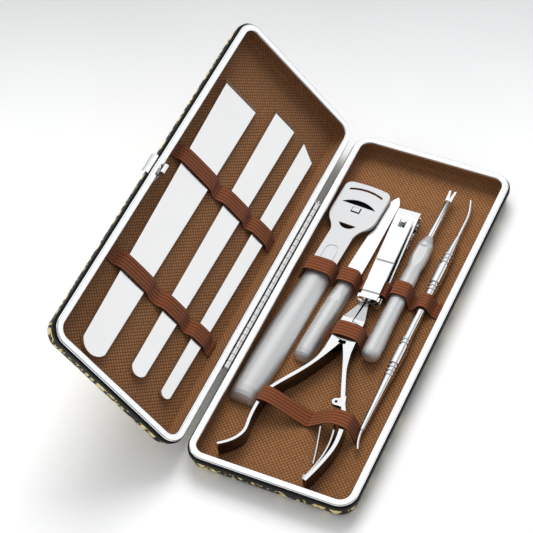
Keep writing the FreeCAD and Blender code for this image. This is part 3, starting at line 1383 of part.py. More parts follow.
check_document()
os.makedirs("parts", exist_ok=True)
for piece in PIECES:
    piece.Shape.exportStep(f"parts/{piece.Label}.step")
    print(piece.Label, len(piece.Shape.Solids), round(piece.Shape.Volume, 1))
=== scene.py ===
import math
from collections import namedtuple

import bpy
from mathutils import Matrix, Vector


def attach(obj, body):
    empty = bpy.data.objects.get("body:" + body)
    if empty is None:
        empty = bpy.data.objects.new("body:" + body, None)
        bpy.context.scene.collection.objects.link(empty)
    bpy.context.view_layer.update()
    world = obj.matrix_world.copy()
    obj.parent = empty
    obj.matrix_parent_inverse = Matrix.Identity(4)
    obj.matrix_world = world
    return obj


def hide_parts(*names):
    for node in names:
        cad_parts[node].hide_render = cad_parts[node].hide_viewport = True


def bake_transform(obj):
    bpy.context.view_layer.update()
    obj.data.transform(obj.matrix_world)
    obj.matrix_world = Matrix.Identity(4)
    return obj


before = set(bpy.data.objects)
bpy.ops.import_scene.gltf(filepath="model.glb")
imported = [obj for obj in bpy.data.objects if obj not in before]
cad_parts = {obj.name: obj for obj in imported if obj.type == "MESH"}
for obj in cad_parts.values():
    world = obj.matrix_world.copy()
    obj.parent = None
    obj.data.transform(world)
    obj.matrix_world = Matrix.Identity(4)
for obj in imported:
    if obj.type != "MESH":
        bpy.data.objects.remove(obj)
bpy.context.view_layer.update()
bpy.ops.object.select_all(action="DESELECT")

# Camera and light
# The set is seen from the front right and above through a long lens, on a pale table under large soft boxes.
# The camera's three directions and its place were solved from the straight edges of the two rims.
SENSOR_WIDTH_MM = 36.0
LENS_MM = 139.56
CAMERA_RIGHT = (0.91129, 0.40795, -0.05588)
CAMERA_UP = (-0.28401, 0.72102, 0.63204)
CAMERA_BACK = (0.29813, -0.56010, 0.77292)
CAMERA_PLACE = (0.2384, -0.5307, 0.7535)
camera = bpy.data.objects.new("camera", bpy.data.cameras.new("camera"))
bpy.context.scene.collection.objects.link(camera)
camera.data.sensor_width = SENSOR_WIDTH_MM
camera.data.lens = LENS_MM
camera_turn = Matrix((CAMERA_RIGHT, CAMERA_UP, CAMERA_BACK)).transposed()
camera.matrix_world = Matrix.Translation(CAMERA_PLACE) @ camera_turn.to_4x4()
bpy.context.scene.camera = camera
bpy.context.scene.view_settings.view_transform = "Standard"

# Each soft box has its place, the point that it faces and its width in metres, and its watts
SOFT_BOXES = {
    "box_over": ((-0.40, 0.75, 1.05), (-0.02, 0.0, 0.02), 1.3, 4.1),
    "box_right": ((1.00, 0.70, 0.34), (-0.05, 0.0, 0.04), 0.9, 2.1),
    "box_left": ((-1.10, -0.30, 0.60), (-0.05, 0.0, 0.03), 0.5, 1.2),
    "key": ((-0.30, 0.95, 1.05), (-0.02, 0.0, 0.02), 0.9, 17.0),
    "fill": ((-0.50, -0.95, 0.55), (-0.04, -0.02, 0.0), 0.9, 1.8)}
for name, (place, aim, width, watts) in SOFT_BOXES.items():
    light = bpy.data.objects.new(name, bpy.data.lights.new(name, "AREA"))
    bpy.context.scene.collection.objects.link(light)
    light.data.size = width
    light.data.energy = watts
    light.location = place
    light.rotation_mode = "QUATERNION"
    light.rotation_quaternion = (Vector(aim) - Vector(place)).to_track_quat("-Z", "Y")
# The key and the fill light the cloth and the table, and the right box shows only in the steel
bpy.data.objects["key"].visible_glossy = False
bpy.data.objects["fill"].visible_glossy = False
bpy.data.objects["box_right"].visible_diffuse = False


def linear(hex_colour):
    """An sRGB hex colour as linear red, green, blue and alpha."""
    parts = [int(hex_colour[at:at + 2], 16) / 255 for at in (1, 3, 5)]
    return [p / 12.92 if p <= 0.04045 else ((p + 0.055) / 1.055) ** 2.4 for p in parts] + [1.0]


def add_node(tree, kind, inputs=(), **settings):
    """Add one node with its settings. An input is a number, a colour or another node's output."""
    made = tree.nodes.new(kind)
    for name, value in settings.items():
        setattr(made, name, value)
    for socket, value in dict(inputs).items():
        if isinstance(value, bpy.types.NodeSocket):
            tree.links.new(value, made.inputs[socket])
        else:
            made.inputs[socket].default_value = value
    return made


SKY_STRENGTH = 0.64
world = bpy.data.worlds.new("studio")
bpy.context.scene.world = world
world.use_nodes = True
sky = world.node_tree
sky_place = add_node(sky, "ShaderNodeTexCoord")
sky_parts = add_node(sky, "ShaderNodeSeparateXYZ", {"Vector": sky_place.outputs["Generated"]})
sky_ramp = add_node(sky, "ShaderNodeValToRGB", {"Fac": sky_parts.outputs["Z"]})
sky_ramp.color_ramp.elements[0].color = linear("#9b9da0")
sky_ramp.color_ramp.elements[1].color = linear("#f6f7f8")
sky.links.new(sky_ramp.outputs["Color"], sky.nodes["Background"].inputs["Color"])
sky.nodes["Background"].inputs["Strength"].default_value = SKY_STRENGTH


def new_material(name, colour, metallic, roughness):
    """A material with one plain shader, whose constants are set on its own sockets."""
    material = bpy.data.materials.new(name)
    material.use_nodes = True
    tree = material.node_tree
    shader = tree.nodes["Principled BSDF"]
    shader.inputs["Base Color"].default_value = linear(colour)
    shader.inputs["Metallic"].default_value = metallic
    shader.inputs["Roughness"].default_value = roughness
    return material, tree, shader


# Table
# A sheet of matt studio paper under the set, with painted shade: white in front, turning grey towards
# the back. The case stands on it, a hair above.
TABLE_SIDE = 6.0
TABLE_DROP = 0.0002
FADE_WAY = (-0.367, 0.930, 0.0)
FADE_START, FADE_END = 0.04, 0.31
MOTTLES_PER_METRE = 12.0
MOTTLE_SHIFT = 0.02
bpy.ops.mesh.primitive_grid_add(x_subdivisions=2, y_subdivisions=2, size=TABLE_SIDE, location=(0.0, 0.0, -TABLE_DROP))
floor = bpy.context.object
floor.name = "table"
# Uncoated paper gives soft light back and no reflection, and a slow mottle keeps its fade from banding
paper, tree, shader = new_material("paper_with_painted_shade", "#f1f1f2", 0.0, 0.7)
place = add_node(tree, "ShaderNodeTexCoord").outputs["Object"]
mottle = add_node(tree, "ShaderNodeTexNoise", {"Vector": place, "Scale": MOTTLES_PER_METRE, "Detail": 2.0})
depth = add_node(tree, "ShaderNodeVectorMath", {0: place, 1: FADE_WAY}, operation="DOT_PRODUCT")
drift = add_node(tree, "ShaderNodeMath", {0: mottle.outputs["Fac"], 1: MOTTLE_SHIFT, 2: depth.outputs["Value"]},
                 operation="MULTIPLY_ADD")
# Painted shade: the paper is coloured from white to grey along FADE_WAY, towards the back
fade = add_node(tree, "ShaderNodeMapRange", {
    "Value": drift.outputs["Value"], "From Min": FADE_START, "From Max": FADE_END})
painted_shade_ramp = add_node(tree, "ShaderNodeValToRGB", {"Fac": fade.outputs["Result"]})
painted_shade_ramp.color_ramp.elements[0].color = linear("#fefefe")
painted_shade_ramp.color_ramp.elements[1].color = linear("#9c9d9e")
tree.links.new(painted_shade_ramp.outputs["Color"], shader.inputs["Base Color"])
floor.data.materials.append(paper)

# Tray covers
# Each tray is wrapped in thin embossed leatherette with a two-colour print, glued over the moulded shell.
# The print is a scatter of small gold lozenges and flecks on black, about 4 mm apart.
MM = 0.001
PRINT_WANDER = 9 * MM
PRINT_SHIFT = 2.6 * MM
LOZENGE_PITCH = 4.2 * MM
LOZENGE_EDGE, LOZENGE_END = 0.59, 0.63
FLECK_PITCH = 1.9 * MM
FLECK_REACH = 0.30
PEBBLE_PITCH = 0.7 * MM


def dress(material, *names):
    """Give CAD nodes their finish."""
    for name in names:
        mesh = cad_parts[name].data
        mesh.materials.clear()
        mesh.materials.append(material)


# PVC leatherette is half glossy, and its fine pebbled grain breaks the light up. The gold is flat ink.
leatherette, tree, shader = new_material("printed_pvc_leatherette", "#0a0809", 0.0, 0.34)
shader.inputs["Specular IOR Level"].default_value = 0.25
place = add_node(tree, "ShaderNodeTexCoord").outputs["Object"]
wander = add_node(tree, "ShaderNodeTexNoise", {"Vector": place, "Scale": 1 / PRINT_WANDER, "Detail": 2.0})
bent = add_node(tree, "ShaderNodeVectorMath", {
    0: wander.outputs["Color"], 1: (PRINT_SHIFT, PRINT_SHIFT, PRINT_SHIFT)}, operation="MULTIPLY")
shifted = add_node(tree, "ShaderNodeVectorMath", {0: place, 1: bent.outputs["Vector"]}, operation="ADD")
cells = add_node(tree, "ShaderNodeTexVoronoi", {
    "Vector": shifted.outputs["Vector"], "Scale": 1 / LOZENGE_PITCH, "Randomness": 0.9}, distance="MANHATTAN")
lozenge = add_node(tree, "ShaderNodeValToRGB", {"Fac": cells.outputs["Distance"]})
stops = lozenge.color_ramp.elements
stops[0].position, stops[0].color = 0.0, linear("#f5eabd")
stops[1].position, stops[1].color = LOZENGE_END, linear("#0a0809")
stops.new(LOZENGE_EDGE).color = linear("#dcc67c")
fleck = add_node(tree, "ShaderNodeTexVoronoi", {"Vector": place, "Scale": 1 / FLECK_PITCH})
dots = add_node(tree, "ShaderNodeMath", {0: fleck.outputs["Distance"], 1: FLECK_REACH}, operation="LESS_THAN")
both = add_node(tree, "ShaderNodeMix", {
    "Factor": dots.outputs["Value"], "A": lozenge.outputs["Color"], "B": linear("#d2ba70")}, data_type="RGBA")
tree.links.new(next(o for o in both.outputs if o.type == "RGBA"), shader.inputs["Base Color"])
pebble = add_node(tree, "ShaderNodeTexVoronoi", {"Vector": place, "Scale": 1 / PEBBLE_PITCH}, feature="SMOOTH_F1")
bump = add_node(tree, "ShaderNodeBump", {
    "Height": pebble.outputs["Distance"], "Strength": 0.35, "Distance": 0.15 * MM})
tree.links.new(bump.outputs["Normal"], shader.inputs["Normal"])
dress(leatherette, "base_leatherette", "lid_leatherette")

# Shells
# The moulded polystyrene tray between cover and lining. It shows only through the latch window.
# It comes out of the mould dull and dark, with faint flow marks.
FLOW_MARK = 1.5 * MM
shell_plastic, tree, shader = new_material("moulded_polystyrene", "#2b2623", 0.0, 0.55)
place = add_node(tree, "ShaderNodeTexCoord").outputs["Object"]
flow = add_node(tree, "ShaderNodeTexNoise", {"Vector": place, "Scale": 1 / FLOW_MARK})
bump = add_node(tree, "ShaderNodeBump", {"Height": flow.outputs["Fac"], "Strength": 0.2, "Distance": 0.1 * MM})
tree.links.new(bump.outputs["Normal"], shader.inputs["Normal"])
dress(shell_plastic, "base_shell", "lid_shell")

# Piping
# A black cord of plain leatherette, glued under the chrome rim to hide the edge of the cover.
# It is nearly matt, with a grain a little finer than the cover's.
PIPING_GRAIN = 0.6 * MM
piping_pvc, tree, shader = new_material("black_pvc_piping", "#070606", 0.0, 0.45)
shader.inputs["Specular IOR Level"].default_value = 0.2
place = add_node(tree, "ShaderNodeTexCoord").outputs["Object"]
grain = add_node(tree, "ShaderNodeTexVoronoi", {"Vector": place, "Scale": 1 / PIPING_GRAIN}, feature="SMOOTH_F1")
bump = add_node(tree, "ShaderNodeBump", {
    "Height": grain.outputs["Distance"], "Strength": 0.4, "Distance": 0.1 * MM})
tree.links.new(bump.outputs["Normal"], shader.inputs["Normal"])
dress(piping_pvc, "base_piping", "lid_piping")

# Linings
# Both trays are lined with a brown woven cloth, glued in. Its small diamond weave has a pitch of 2 mm.
# The heights and places here and below are millimetres in a tray's own frame, as it lies flat.
OPEN = math.radians(47.8)
HINGE_BACK = 41.05
HINGE_HEIGHT = 10.85
LINING = 2.3
WEAVE_PITCH = 2.0 * MM
FIBRE_PITCH = 0.9 * MM
PATCH_PITCH = 30 * MM
PATCH_SHARE = 0.35


def base_point(x, y, z):
    """A point of the base tray's own frame, in millimetres, as a point of the row frame in metres."""
    return Vector((x * MM, y * MM, z * MM))


def lid_point(x, y, z):
    """A point of the lid tray's own frame, in millimetres, as a point of the row frame in metres."""
    across, up = x - HINGE_BACK, z - HINGE_HEIGHT
    return Vector((
        (-HINGE_BACK + math.cos(OPEN) * across + math.sin(OPEN) * up) * MM, y * MM,
        (HINGE_HEIGHT - math.sin(OPEN) * across + math.cos(OPEN) * up) * MM))


def woven_lining(name, tilt, floor_point):
    """Coarse polyester basket weave: threads cross in little raised diamonds, dull, with dark gaps."""
    material, tree, shader = new_material(name, "#6e4426", 0.0, 0.85)
    shader.inputs["Sheen Weight"].default_value = 0.06
    place = add_node(tree, "ShaderNodeTexCoord").outputs["Object"]
    # The cloth is laid on the tray's floor and carried on up each wall
    lowest = (Matrix.Rotation(tilt, 3, "Y") @ floor_point).z
    level = add_node(tree, "ShaderNodeMapping", {
        "Vector": place, "Rotation": (0.0, tilt, 0.0), "Location": (0.0, 0.0, -lowest)})
    axes = add_node(tree, "ShaderNodeSeparateXYZ", {"Vector": level.outputs["Vector"]})
    normal = add_node(tree, "ShaderNodeTexCoord").outputs["Normal"]
    turned = add_node(tree, "ShaderNodeMapping", {"Vector": normal, "Rotation": (0.0, tilt, 0.0)})
    faces = add_node(tree, "ShaderNodeSeparateXYZ", {"Vector": turned.outputs["Vector"]})
    laid = []
    for axis in ("X", "Y"):
        climb = add_node(tree, "ShaderNodeMath", {0: axes.outputs["Z"], 1: faces.outputs[axis]},
                         operation="MULTIPLY")
        laid.append(add_node(tree, "ShaderNodeMath", {0: axes.outputs[axis], 1: climb.outputs["Value"]},
                             operation="SUBTRACT"))
    waves = []
    for way in ("ADD", "SUBTRACT"):
        slant = add_node(tree, "ShaderNodeMath", {0: laid[0].outputs["Value"], 1: laid[1].outputs["Value"]},
                         operation=way)
        angle = add_node(tree, "ShaderNodeMath", {0: slant.outputs["Value"], 1: math.pi / WEAVE_PITCH},
                         operation="MULTIPLY")
        wave = add_node(tree, "ShaderNodeMath", {0: angle.outputs["Value"]}, operation="SINE")
        waves.append(add_node(tree, "ShaderNodeMath", {0: wave.outputs["Value"]}, operation="ABSOLUTE"))
    weave = add_node(tree, "ShaderNodeMath", {0: waves[0].outputs["Value"], 1: waves[1].outputs["Value"]},
                     operation="MULTIPLY")
    fibre = add_node(tree, "ShaderNodeTexNoise", {"Vector": place, "Scale": 1 / FIBRE_PITCH, "Detail": 4.0})
    tone = add_node(tree, "ShaderNodeMath", {0: weave.outputs["Value"], 1: fibre.outputs["Fac"]},
                    operation="MULTIPLY")
    ramp = add_node(tree, "ShaderNodeValToRGB", {"Fac": tone.outputs["Value"]})
    stops = ramp.color_ramp.elements
    stops[0].position, stops[0].color = 0.0, linear("#52351c")
    stops[1].position, stops[1].color = 0.5, linear("#ac7849")
    stops.new(0.16).color = linear("#7f522d")
    patch = add_node(tree, "ShaderNodeTexNoise", {"Vector": place, "Scale": 1 / PATCH_PITCH})
    dim = add_node(tree, "ShaderNodeMath", {0: patch.outputs["Fac"], 1: PATCH_SHARE}, operation="MULTIPLY")
    cast = add_node(tree, "ShaderNodeMix", {
        "Factor": dim.outputs["Value"], "A": ramp.outputs["Color"], "B": linear("#855832")}, data_type="RGBA")
    tree.links.new(next(o for o in cast.outputs if o.type == "RGBA"), shader.inputs["Base Color"])
    bump = add_node(tree, "ShaderNodeBump", {
        "Height": weave.outputs["Value"], "Strength": 0.55, "Distance": 0.3 * MM})
    tree.links.new(bump.outputs["Normal"], shader.inputs["Normal"])
    return material


dress(woven_lining("woven_lining_base", 0.0, base_point(0.0, 0.0, LINING)), "base_lining")
dress(woven_lining("woven_lining_lid", -OPEN, lid_point(0.0, 0.0, LINING)), "lid_lining")

# Rims
# A flat frame of pressed steel closes the mouth of each tray. It is nickel and chrome plated, bright,
# with fine hairlines from polishing.
HAIR_STRETCH = 40
HAZE_PITCH = 14 * MM
LEAST_GLOSS, MOST_GLOSS = 0.94, 1.08


def plated_steel(name, colour, roughness, hair=0.35):
    """Bright plated steel: smooth, with faint hairlines along the set and a slow change of gloss."""
    material, tree, shader = new_material(name, colour, 1.0, roughness)
    place = add_node(tree, "ShaderNodeTexCoord").outputs["Object"]
    drawn = add_node(tree, "ShaderNodeMapping", {
        "Vector": place, "Scale": (1 / (hair * MM), 1 / (hair * HAIR_STRETCH * MM), 1 / (hair * MM))})
    lines = add_node(tree, "ShaderNodeTexNoise", {"Vector": drawn.outputs["Vector"], "Scale": 1.0, "Detail": 3.0})
    haze = add_node(tree, "ShaderNodeTexNoise", {"Vector": place, "Scale": 1 / HAZE_PITCH})
    gloss = add_node(tree, "ShaderNodeMapRange", {
        "Value": haze.outputs["Fac"], "To Min": roughness * LEAST_GLOSS, "To Max": roughness * MOST_GLOSS})
    tree.links.new(gloss.outputs["Result"], shader.inputs["Roughness"])
    bump = add_node(tree, "ShaderNodeBump", {
        "Height": lines.outputs["Fac"], "Strength": 0.02, "Distance": 0.05 * MM})
    tree.links.new(bump.outputs["Normal"], shader.inputs["Normal"])
    return material


# Chrome over nickel mirrors the studio with soft edges
rim_chrome = plated_steel("chrome_plated_rim", "#eeeff0", 0.14)
dress(rim_chrome, "base_rim", "lid_rim")

# Hinge
# A long piano hinge: two rolled steel leaves riveted behind the piping, and a wire pin through the knuckles.
# Nickel alone is a little warmer and duller than the rims' chrome.
hinge_nickel = plated_steel("nickel_plated_hinge", "#dededd", 0.2)
dress(hinge_nickel, "hinge_leaf_base", "hinge_leaf_lid", "hinge_pin")

# Latch
# A chromed push button on the lid's long edge, with a nickelled steel hook. A bowed leaf of spring steel
# behind the hook holds it out, with its two feet on the tray's wall.
dress(plated_steel("chrome_plated_button", "#eeeff0", 0.1), "latch_button")
dress(hinge_nickel, "latch_hook")
# Tempering leaves the leaf grey and half dull
spring_steel = plated_steel("blued_spring_steel", "#8c8f94", 0.3)
# Half of the leaf from its foot to its middle, across and along the tray
SPRING_ARM = [(-36.8, 14.0), (-36.8, 11.5), (-34.8, 2.5), (-34.8, 0.0)]
SPRING_MIDDLE = 7.7
SPRING_HALF_HEIGHT = 1.3
SPRING_THICKNESS = 0.38
SPRING_STEPS = 12


def spring_arm(name, side):
    """Half of the bowed leaf, from its foot on the tray wall to its middle behind the hook."""
    runs = len(SPRING_ARM) - 1
    bpy.ops.object.select_all(action="DESELECT")
    bpy.ops.mesh.primitive_grid_add(x_subdivisions=SPRING_STEPS * runs, y_subdivisions=2, size=1.0)
    arm = bpy.context.object
    arm.name = name
    for vertex in arm.data.vertices:
        run = (vertex.co.x + 0.5) * runs
        at = min(int(run + 1e-6), runs - 1)
        (ax, ay), (bx, by) = SPRING_ARM[at:at + 2]
        height = SPRING_MIDDLE + vertex.co.y * 2 * SPRING_HALF_HEIGHT
        vertex.co = lid_point(ax + (bx - ax) * (run - at), side * (ay + (by - ay) * (run - at)), height)
    leaf = arm.modifiers.new("leaf", "SOLIDIFY")
    leaf.thickness = SPRING_THICKNESS * MM
    leaf.offset = 0.0
    bpy.ops.object.modifier_apply(modifier=leaf.name)
    arm.data.materials.append(spring_steel)
    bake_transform(arm)
    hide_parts("latch_spring")


spring_arm("latch_spring_near_arm", -1)
spring_arm("latch_spring_far_arm", 1)

# Knives
# Three flat stainless blades of 2 mm, ground to a chisel edge at the wide end, satin polished lengthwise.
# The satin spreads the soft boxes into one even pale tone.
knife_satin = plated_steel("satin_stainless_knife", "#ececec", 0.3, 0.25)
dress(knife_satin, "knife_wide", "knife_medium", "knife_narrow")

# Corn plane
# A pressed and sand-blasted handle, a satin plated slotted head, a thin razor blade and a sprung clamp under it.
BROKEN_EDGE_ANGLE = math.radians(32)
WELD_REACH = 1e-6
TONGUE_FOOT = 6.9 * MM


def soften(width, *names):
    """Break the sharp edges of CAD tools, as tumbling and polishing do."""
    for name in names:
        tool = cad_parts[name]
        weld = tool.modifiers.new("weld", "WELD")
        weld.merge_threshold = WELD_REACH
        bevel = tool.modifiers.new("broken_edge", "BEVEL")
        bevel.width = width
        bevel.segments = 2
        bevel.limit_method = "ANGLE"
        bevel.angle_limit = BROKEN_EDGE_ANGLE
        bevel.harden_normals = True


# Fine blasting makes the handles pearly: light runs over them in wide bands with no sharp reflection
pearl_steel = plated_steel("pearl_blasted_steel", "#eeefef", 0.55, 0.5)
dress(pearl_steel, "corn_plane_handle")
dress(plated_steel("satin_plated_steel", "#d3d4d5", 0.3), "corn_plane_head")
soften(0.12 * MM, "corn_plane_head")
# The clamp plate under the head is painted near black below the tongue, as painted shade under the head, and only the
# raised tongue that shows through the head keeps the plated colour
clamp_steel = plated_steel("clamp_steel_painted_shade", "#d3d4d5", 0.3)
tree = clamp_steel.node_tree
place = add_node(tree, "ShaderNodeTexCoord").outputs["Object"]
axes = add_node(tree, "ShaderNodeSeparateXYZ", {"Vector": place})
raised = add_node(tree, "ShaderNodeMath", {0: axes.outputs["Z"], 1: TONGUE_FOOT}, operation="GREATER_THAN")
tone = add_node(tree, "ShaderNodeMix", {
    "Factor": raised.outputs["Value"], "A": linear("#17181a"), "B": linear("#d3d4d5")}, data_type="RGBA")
tree.links.new(next(o for o in tone.outputs if o.type == "RGBA"),
               tree.nodes["Principled BSDF"].inputs["Base Color"])
dress(clamp_steel, "corn_plane_clamp")
# Razor steel, blued against rust, is also painted nearly black as painted shade, so that it reads dark inside the
# slot
dress(plated_steel("blued_blade_steel_and_painted_shade", "#0e0f11", 0.4, 0.2), "corn_plane_blade")

# Nail file
# A domed blasted handle with a thumb facet, and a flat pointed blade with rows of cross-cut teeth.
# The rows are drawn 0.85 mm apart, coarser than real ones, so that they show.
TEETH_PITCH = 0.85 * MM
dress(pearl_steel, "nail_file_handle")
# The cut flats glitter a little where the rows cross, and are bright from far away
file_steel, tree, shader = new_material("cross_cut_file_steel", "#f2f2f2", 1.0, 0.26)
place = add_node(tree, "ShaderNodeTexCoord").outputs["Object"]
axes = add_node(tree, "ShaderNodeSeparateXYZ", {"Vector": place})
rows = []
for way in ("ADD", "SUBTRACT"):
    slant = add_node(tree, "ShaderNodeMath", {0: axes.outputs["X"], 1: axes.outputs["Y"]}, operation=way)
    angle = add_node(tree, "ShaderNodeMath", {0: slant.outputs["Value"], 1: 2 * math.pi / TEETH_PITCH},
                     operation="MULTIPLY")
    rows.append(add_node(tree, "ShaderNodeMath", {0: angle.outputs["Value"]}, operation="SINE"))
teeth = add_node(tree, "ShaderNodeMath", {0: rows[0].outputs["Value"], 1: rows[1].outputs["Value"]},
                 operation="MULTIPLY")
bump = add_node(tree, "ShaderNodeBump", {"Height": teeth.outputs["Value"], "Strength": 0.07, "Distance": 0.1 * MM})
tree.links.new(bump.outputs["Normal"], shader.inputs["Normal"])
dress(file_steel, "nail_file_blade")

# Nail clipper
# Two pressed steel arms riveted at the tail, a pin through the jaws and a folding lever, all chrome plated.
# The plating is bright, and the pressed edges are rounded by tumbling.
clipper_chrome = plated_steel("chrome_plated_clipper", "#e4e5e6", 0.12)
dress(clipper_chrome, "clipper_lower_arm", "clipper_upper_arm", "clipper_rivet", "clipper_pin", "clipper_lever")
soften(0.18 * MM, "clipper_lower_arm", "clipper_upper_arm", "clipper_lever", "clipper_pin")

# Cuticle fork
# A turned and blasted steel handle with a flat for the thumb, and a polished shaft ground to a small fork.
dress(pearl_steel, "cuticle_fork_handle")
# Polished stainless shows the soft boxes as clear bright streaks
tool_bright = plated_steel("polished_stainless", "#e6e7e8", 0.18)
dress(tool_bright, "cuticle_fork_shaft")
soften(0.15 * MM, "cuticle_fork_shaft")

# Pick
# One turned bar of polished stainless with rows of beads for grip, and a bent wire tip pressed into each end.
dress(tool_bright, "pick_handle", "pick_kicked_tip", "pick_curved_tip")

# Cuticle nipper
# Two forged halves lapped on a screw and polished on top, kept apart by two thin leaf springs.
# The upright sides of the forgings are painted darker than the polished top faces, as painted shade.
SIDE_FACING, TOP_FACING = 0.12, 0.8
nipper_polish = plated_steel("forged_steel_with_painted_side_shade", "#dcddde", 0.2)
tree = nipper_polish.node_tree
# Painted shade: the base colour is dark grey on faces that stand upright and bright on faces that look up
normal = add_node(tree, "ShaderNodeTexCoord").outputs["Normal"]
faces = add_node(tree, "ShaderNodeSeparateXYZ", {"Vector": normal})
upward = add_node(tree, "ShaderNodeMath", {0: faces.outputs["Z"]}, operation="ABSOLUTE")
finish = add_node(tree, "ShaderNodeValToRGB", {"Fac": upward.outputs["Value"]})
stops = finish.color_ramp.elements
stops[0].position, stops[0].color = SIDE_FACING, linear("#645d59")
stops[1].position, stops[1].color = TOP_FACING, linear("#dcddde")
tree.links.new(finish.outputs["Color"], tree.nodes["Principled BSDF"].inputs["Base Color"])
dress(nipper_polish, "nipper_right_half", "nipper_left_half", "nipper_pivot_screw", "nipper_leaf_screw")
dress(plated_steel("bright_spring_leaf", "#c6c8ca", 0.2), "nipper_inner_leaf", "nipper_thin_leaf")
soften(0.5 * MM, "nipper_right_half", "nipper_left_half")
soften(0.15 * MM, "nipper_pivot_screw", "nipper_leaf_screw")

# Elastic straps
# Rust-brown corded elastic, 8.5 mm wide: rubber cords run along it under a close cross weave, so it shows
# ribs. It passes over the tools in loops and is sewn down between them.
STRAP_WIDTH = 8.5
STRAP_CLOTH = 0.5
STRAP_CORDS = 5
STRAP_ROWS_ACROSS = 36
STRAP_STEP = 0.6
STRAP_END = 34.9
STRAP_BED = LINING + 0.42
TOP_ROOM, FOOT_ROOM = 0.14, 0.12
CORNER_CUTS = (0.16, 0.25, 0.25)
CORD_RISE, CORD_SINK = 0.13, 0.05
STRETCH_SHARE, STRETCH_HEIGHT = 0.035, 6.0
PICK_PITCH = 0.8 * MM
PICK_SHARE = 0.3

# The woven-over cords are painted lighter on their backs and darker between them, as painted highlight and painted
# shade, and have no gloss
strap_elastic, tree, shader = new_material("corded_elastic", "#7a3c1e", 0.0, 0.78)
shader.inputs["Sheen Weight"].default_value = 0.06
along = add_node(tree, "ShaderNodeUVMap", uv_map="UVMap").outputs["UV"]
runs = add_node(tree, "ShaderNodeSeparateXYZ", {"Vector": along})
cord_angle = add_node(tree, "ShaderNodeMath", {0: runs.outputs["Y"], 1: 2 * math.pi * STRAP_CORDS},
                      operation="MULTIPLY")
cord_wave = add_node(tree, "ShaderNodeMath", {0: cord_angle.outputs["Value"]}, operation="COSINE")
pick_angle = add_node(tree, "ShaderNodeMath", {0: runs.outputs["X"], 1: 2 * math.pi / PICK_PITCH},
                      operation="MULTIPLY")
pick_wave = add_node(tree, "ShaderNodeMath", {0: pick_angle.outputs["Value"]}, operation="SINE")
cloth = add_node(tree, "ShaderNodeMath", {
    0: pick_wave.outputs["Value"], 1: PICK_SHARE, 2: cord_wave.outputs["Value"]}, operation="MULTIPLY_ADD")
shade = add_node(tree, "ShaderNodeMapRange", {
    "Value": cloth.outputs["Value"], "From Min": -1 - PICK_SHARE, "From Max": 1 + PICK_SHARE})
colour = add_node(tree, "ShaderNodeValToRGB", {"Fac": shade.outputs["Result"]})
stops = colour.color_ramp.elements
stops[0].color = linear("#8b4921")
stops[1].position, stops[1].color = 0.9, linear("#43200c")
stops.new(0.62).color = linear("#7a3f1b")
tree.links.new(colour.outputs["Color"], shader.inputs["Base Color"])
bump = add_node(tree, "ShaderNodeBump", {
    "Height": pick_wave.outputs["Value"], "Strength": 0.4, "Distance": 0.1 * MM})
tree.links.new(bump.outputs["Normal"], shader.inputs["Normal"])

# A loop over a tool: its middle, half its width at the top and at the foot, and how far it rises
Loop = namedtuple("Loop", "middle top foot rise")


def loop_line(left, right, loops):
    """The middle line of a strap, in millimetres across the tray and up: flat, and a loop over each tool."""
    line = [(left, STRAP_BED)]
    for loop in loops:
        top, foot = loop.top + TOP_ROOM, loop.foot + FOOT_ROOM
        line += [(loop.middle - foot, STRAP_BED), (loop.middle - top, STRAP_BED + loop.rise),
                 (loop.middle + top, STRAP_BED + loop.rise), (loop.middle + foot, STRAP_BED)]
    return line + [(right, STRAP_BED)]


def eased(line):
    """Ease the corners of a line, as stretched cloth does, and space its points evenly."""
    for cut in CORNER_CUTS:
        softer = [line[0]]
        for (ax, az), (bx, bz) in zip(line, line[1:]):
            softer += [(ax + (bx - ax) * cut, az + (bz - az) * cut), (bx - (bx - ax) * cut, bz - (bz - az) * cut)]
        line = softer + [line[-1]]
    travel = [0.0]
    for (ax, az), (bx, bz) in zip(line, line[1:]):
        travel.append(travel[-1] + math.hypot(bx - ax, bz - az))
    count = int(travel[-1] / STRAP_STEP)
    spaced, at = [], 0
    for number in range(count + 1):
        want = travel[-1] * number / count
        while at < len(travel) - 2 and travel[at + 1] < want:
            at += 1
        share = (want - travel[at]) / max(travel[at + 1] - travel[at], 1e-9)
        spaced.append(tuple(line[at][k] + (line[at + 1][k] - line[at][k]) * share for k in (0, 1)))
    return spaced, travel[-1]


def weave_strap(name, middle_y, line, point, body):
    """Lay a fine grid along a strap's line, raise its cords and give the cloth its thickness."""
    spaced, length = eased(line)
    last = len(spaced) - 1
    bpy.ops.object.select_all(action="DESELECT")
    bpy.ops.mesh.primitive_grid_add(x_subdivisions=last, y_subdivisions=STRAP_ROWS_ACROSS, size=1.0)
    strap = bpy.context.object
    strap.name = f"{name}_elastic"
    for corner in strap.data.uv_layers[0].data:
        corner.uv = (corner.uv[0] * length * MM, corner.uv[1])
    for vertex in strap.data.vertices:
        number = round((vertex.co.x + 0.5) * last)
        across = vertex.co.y
        before, after = spaced[max(number - 1, 0)], spaced[min(number + 1, last)]
        run = math.hypot(after[0] - before[0], after[1] - before[1])
        rise = CORD_RISE * abs(math.cos(math.pi * STRAP_CORDS * (across + 0.5))) - CORD_SINK
        x = spaced[number][0] - (after[1] - before[1]) / run * rise
        z = spaced[number][1] + (after[0] - before[0]) / run * rise
        # A strap narrows a little where it is stretched over a tool
        waist = 1.0 - STRETCH_SHARE * min(max((z - LINING) / STRETCH_HEIGHT, 0.0), 1.0)
        vertex.co = point(x, middle_y + across * STRAP_WIDTH * waist, z)
    thick = strap.modifiers.new("cloth", "SOLIDIFY")
    thick.thickness = STRAP_CLOTH * MM
    thick.offset = 0.0
    bpy.ops.object.modifier_apply(modifier=thick.name)
    bpy.ops.object.shade_smooth()
    strap.data.materials.append(strap_elastic)
    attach(strap, body)
    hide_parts(name)


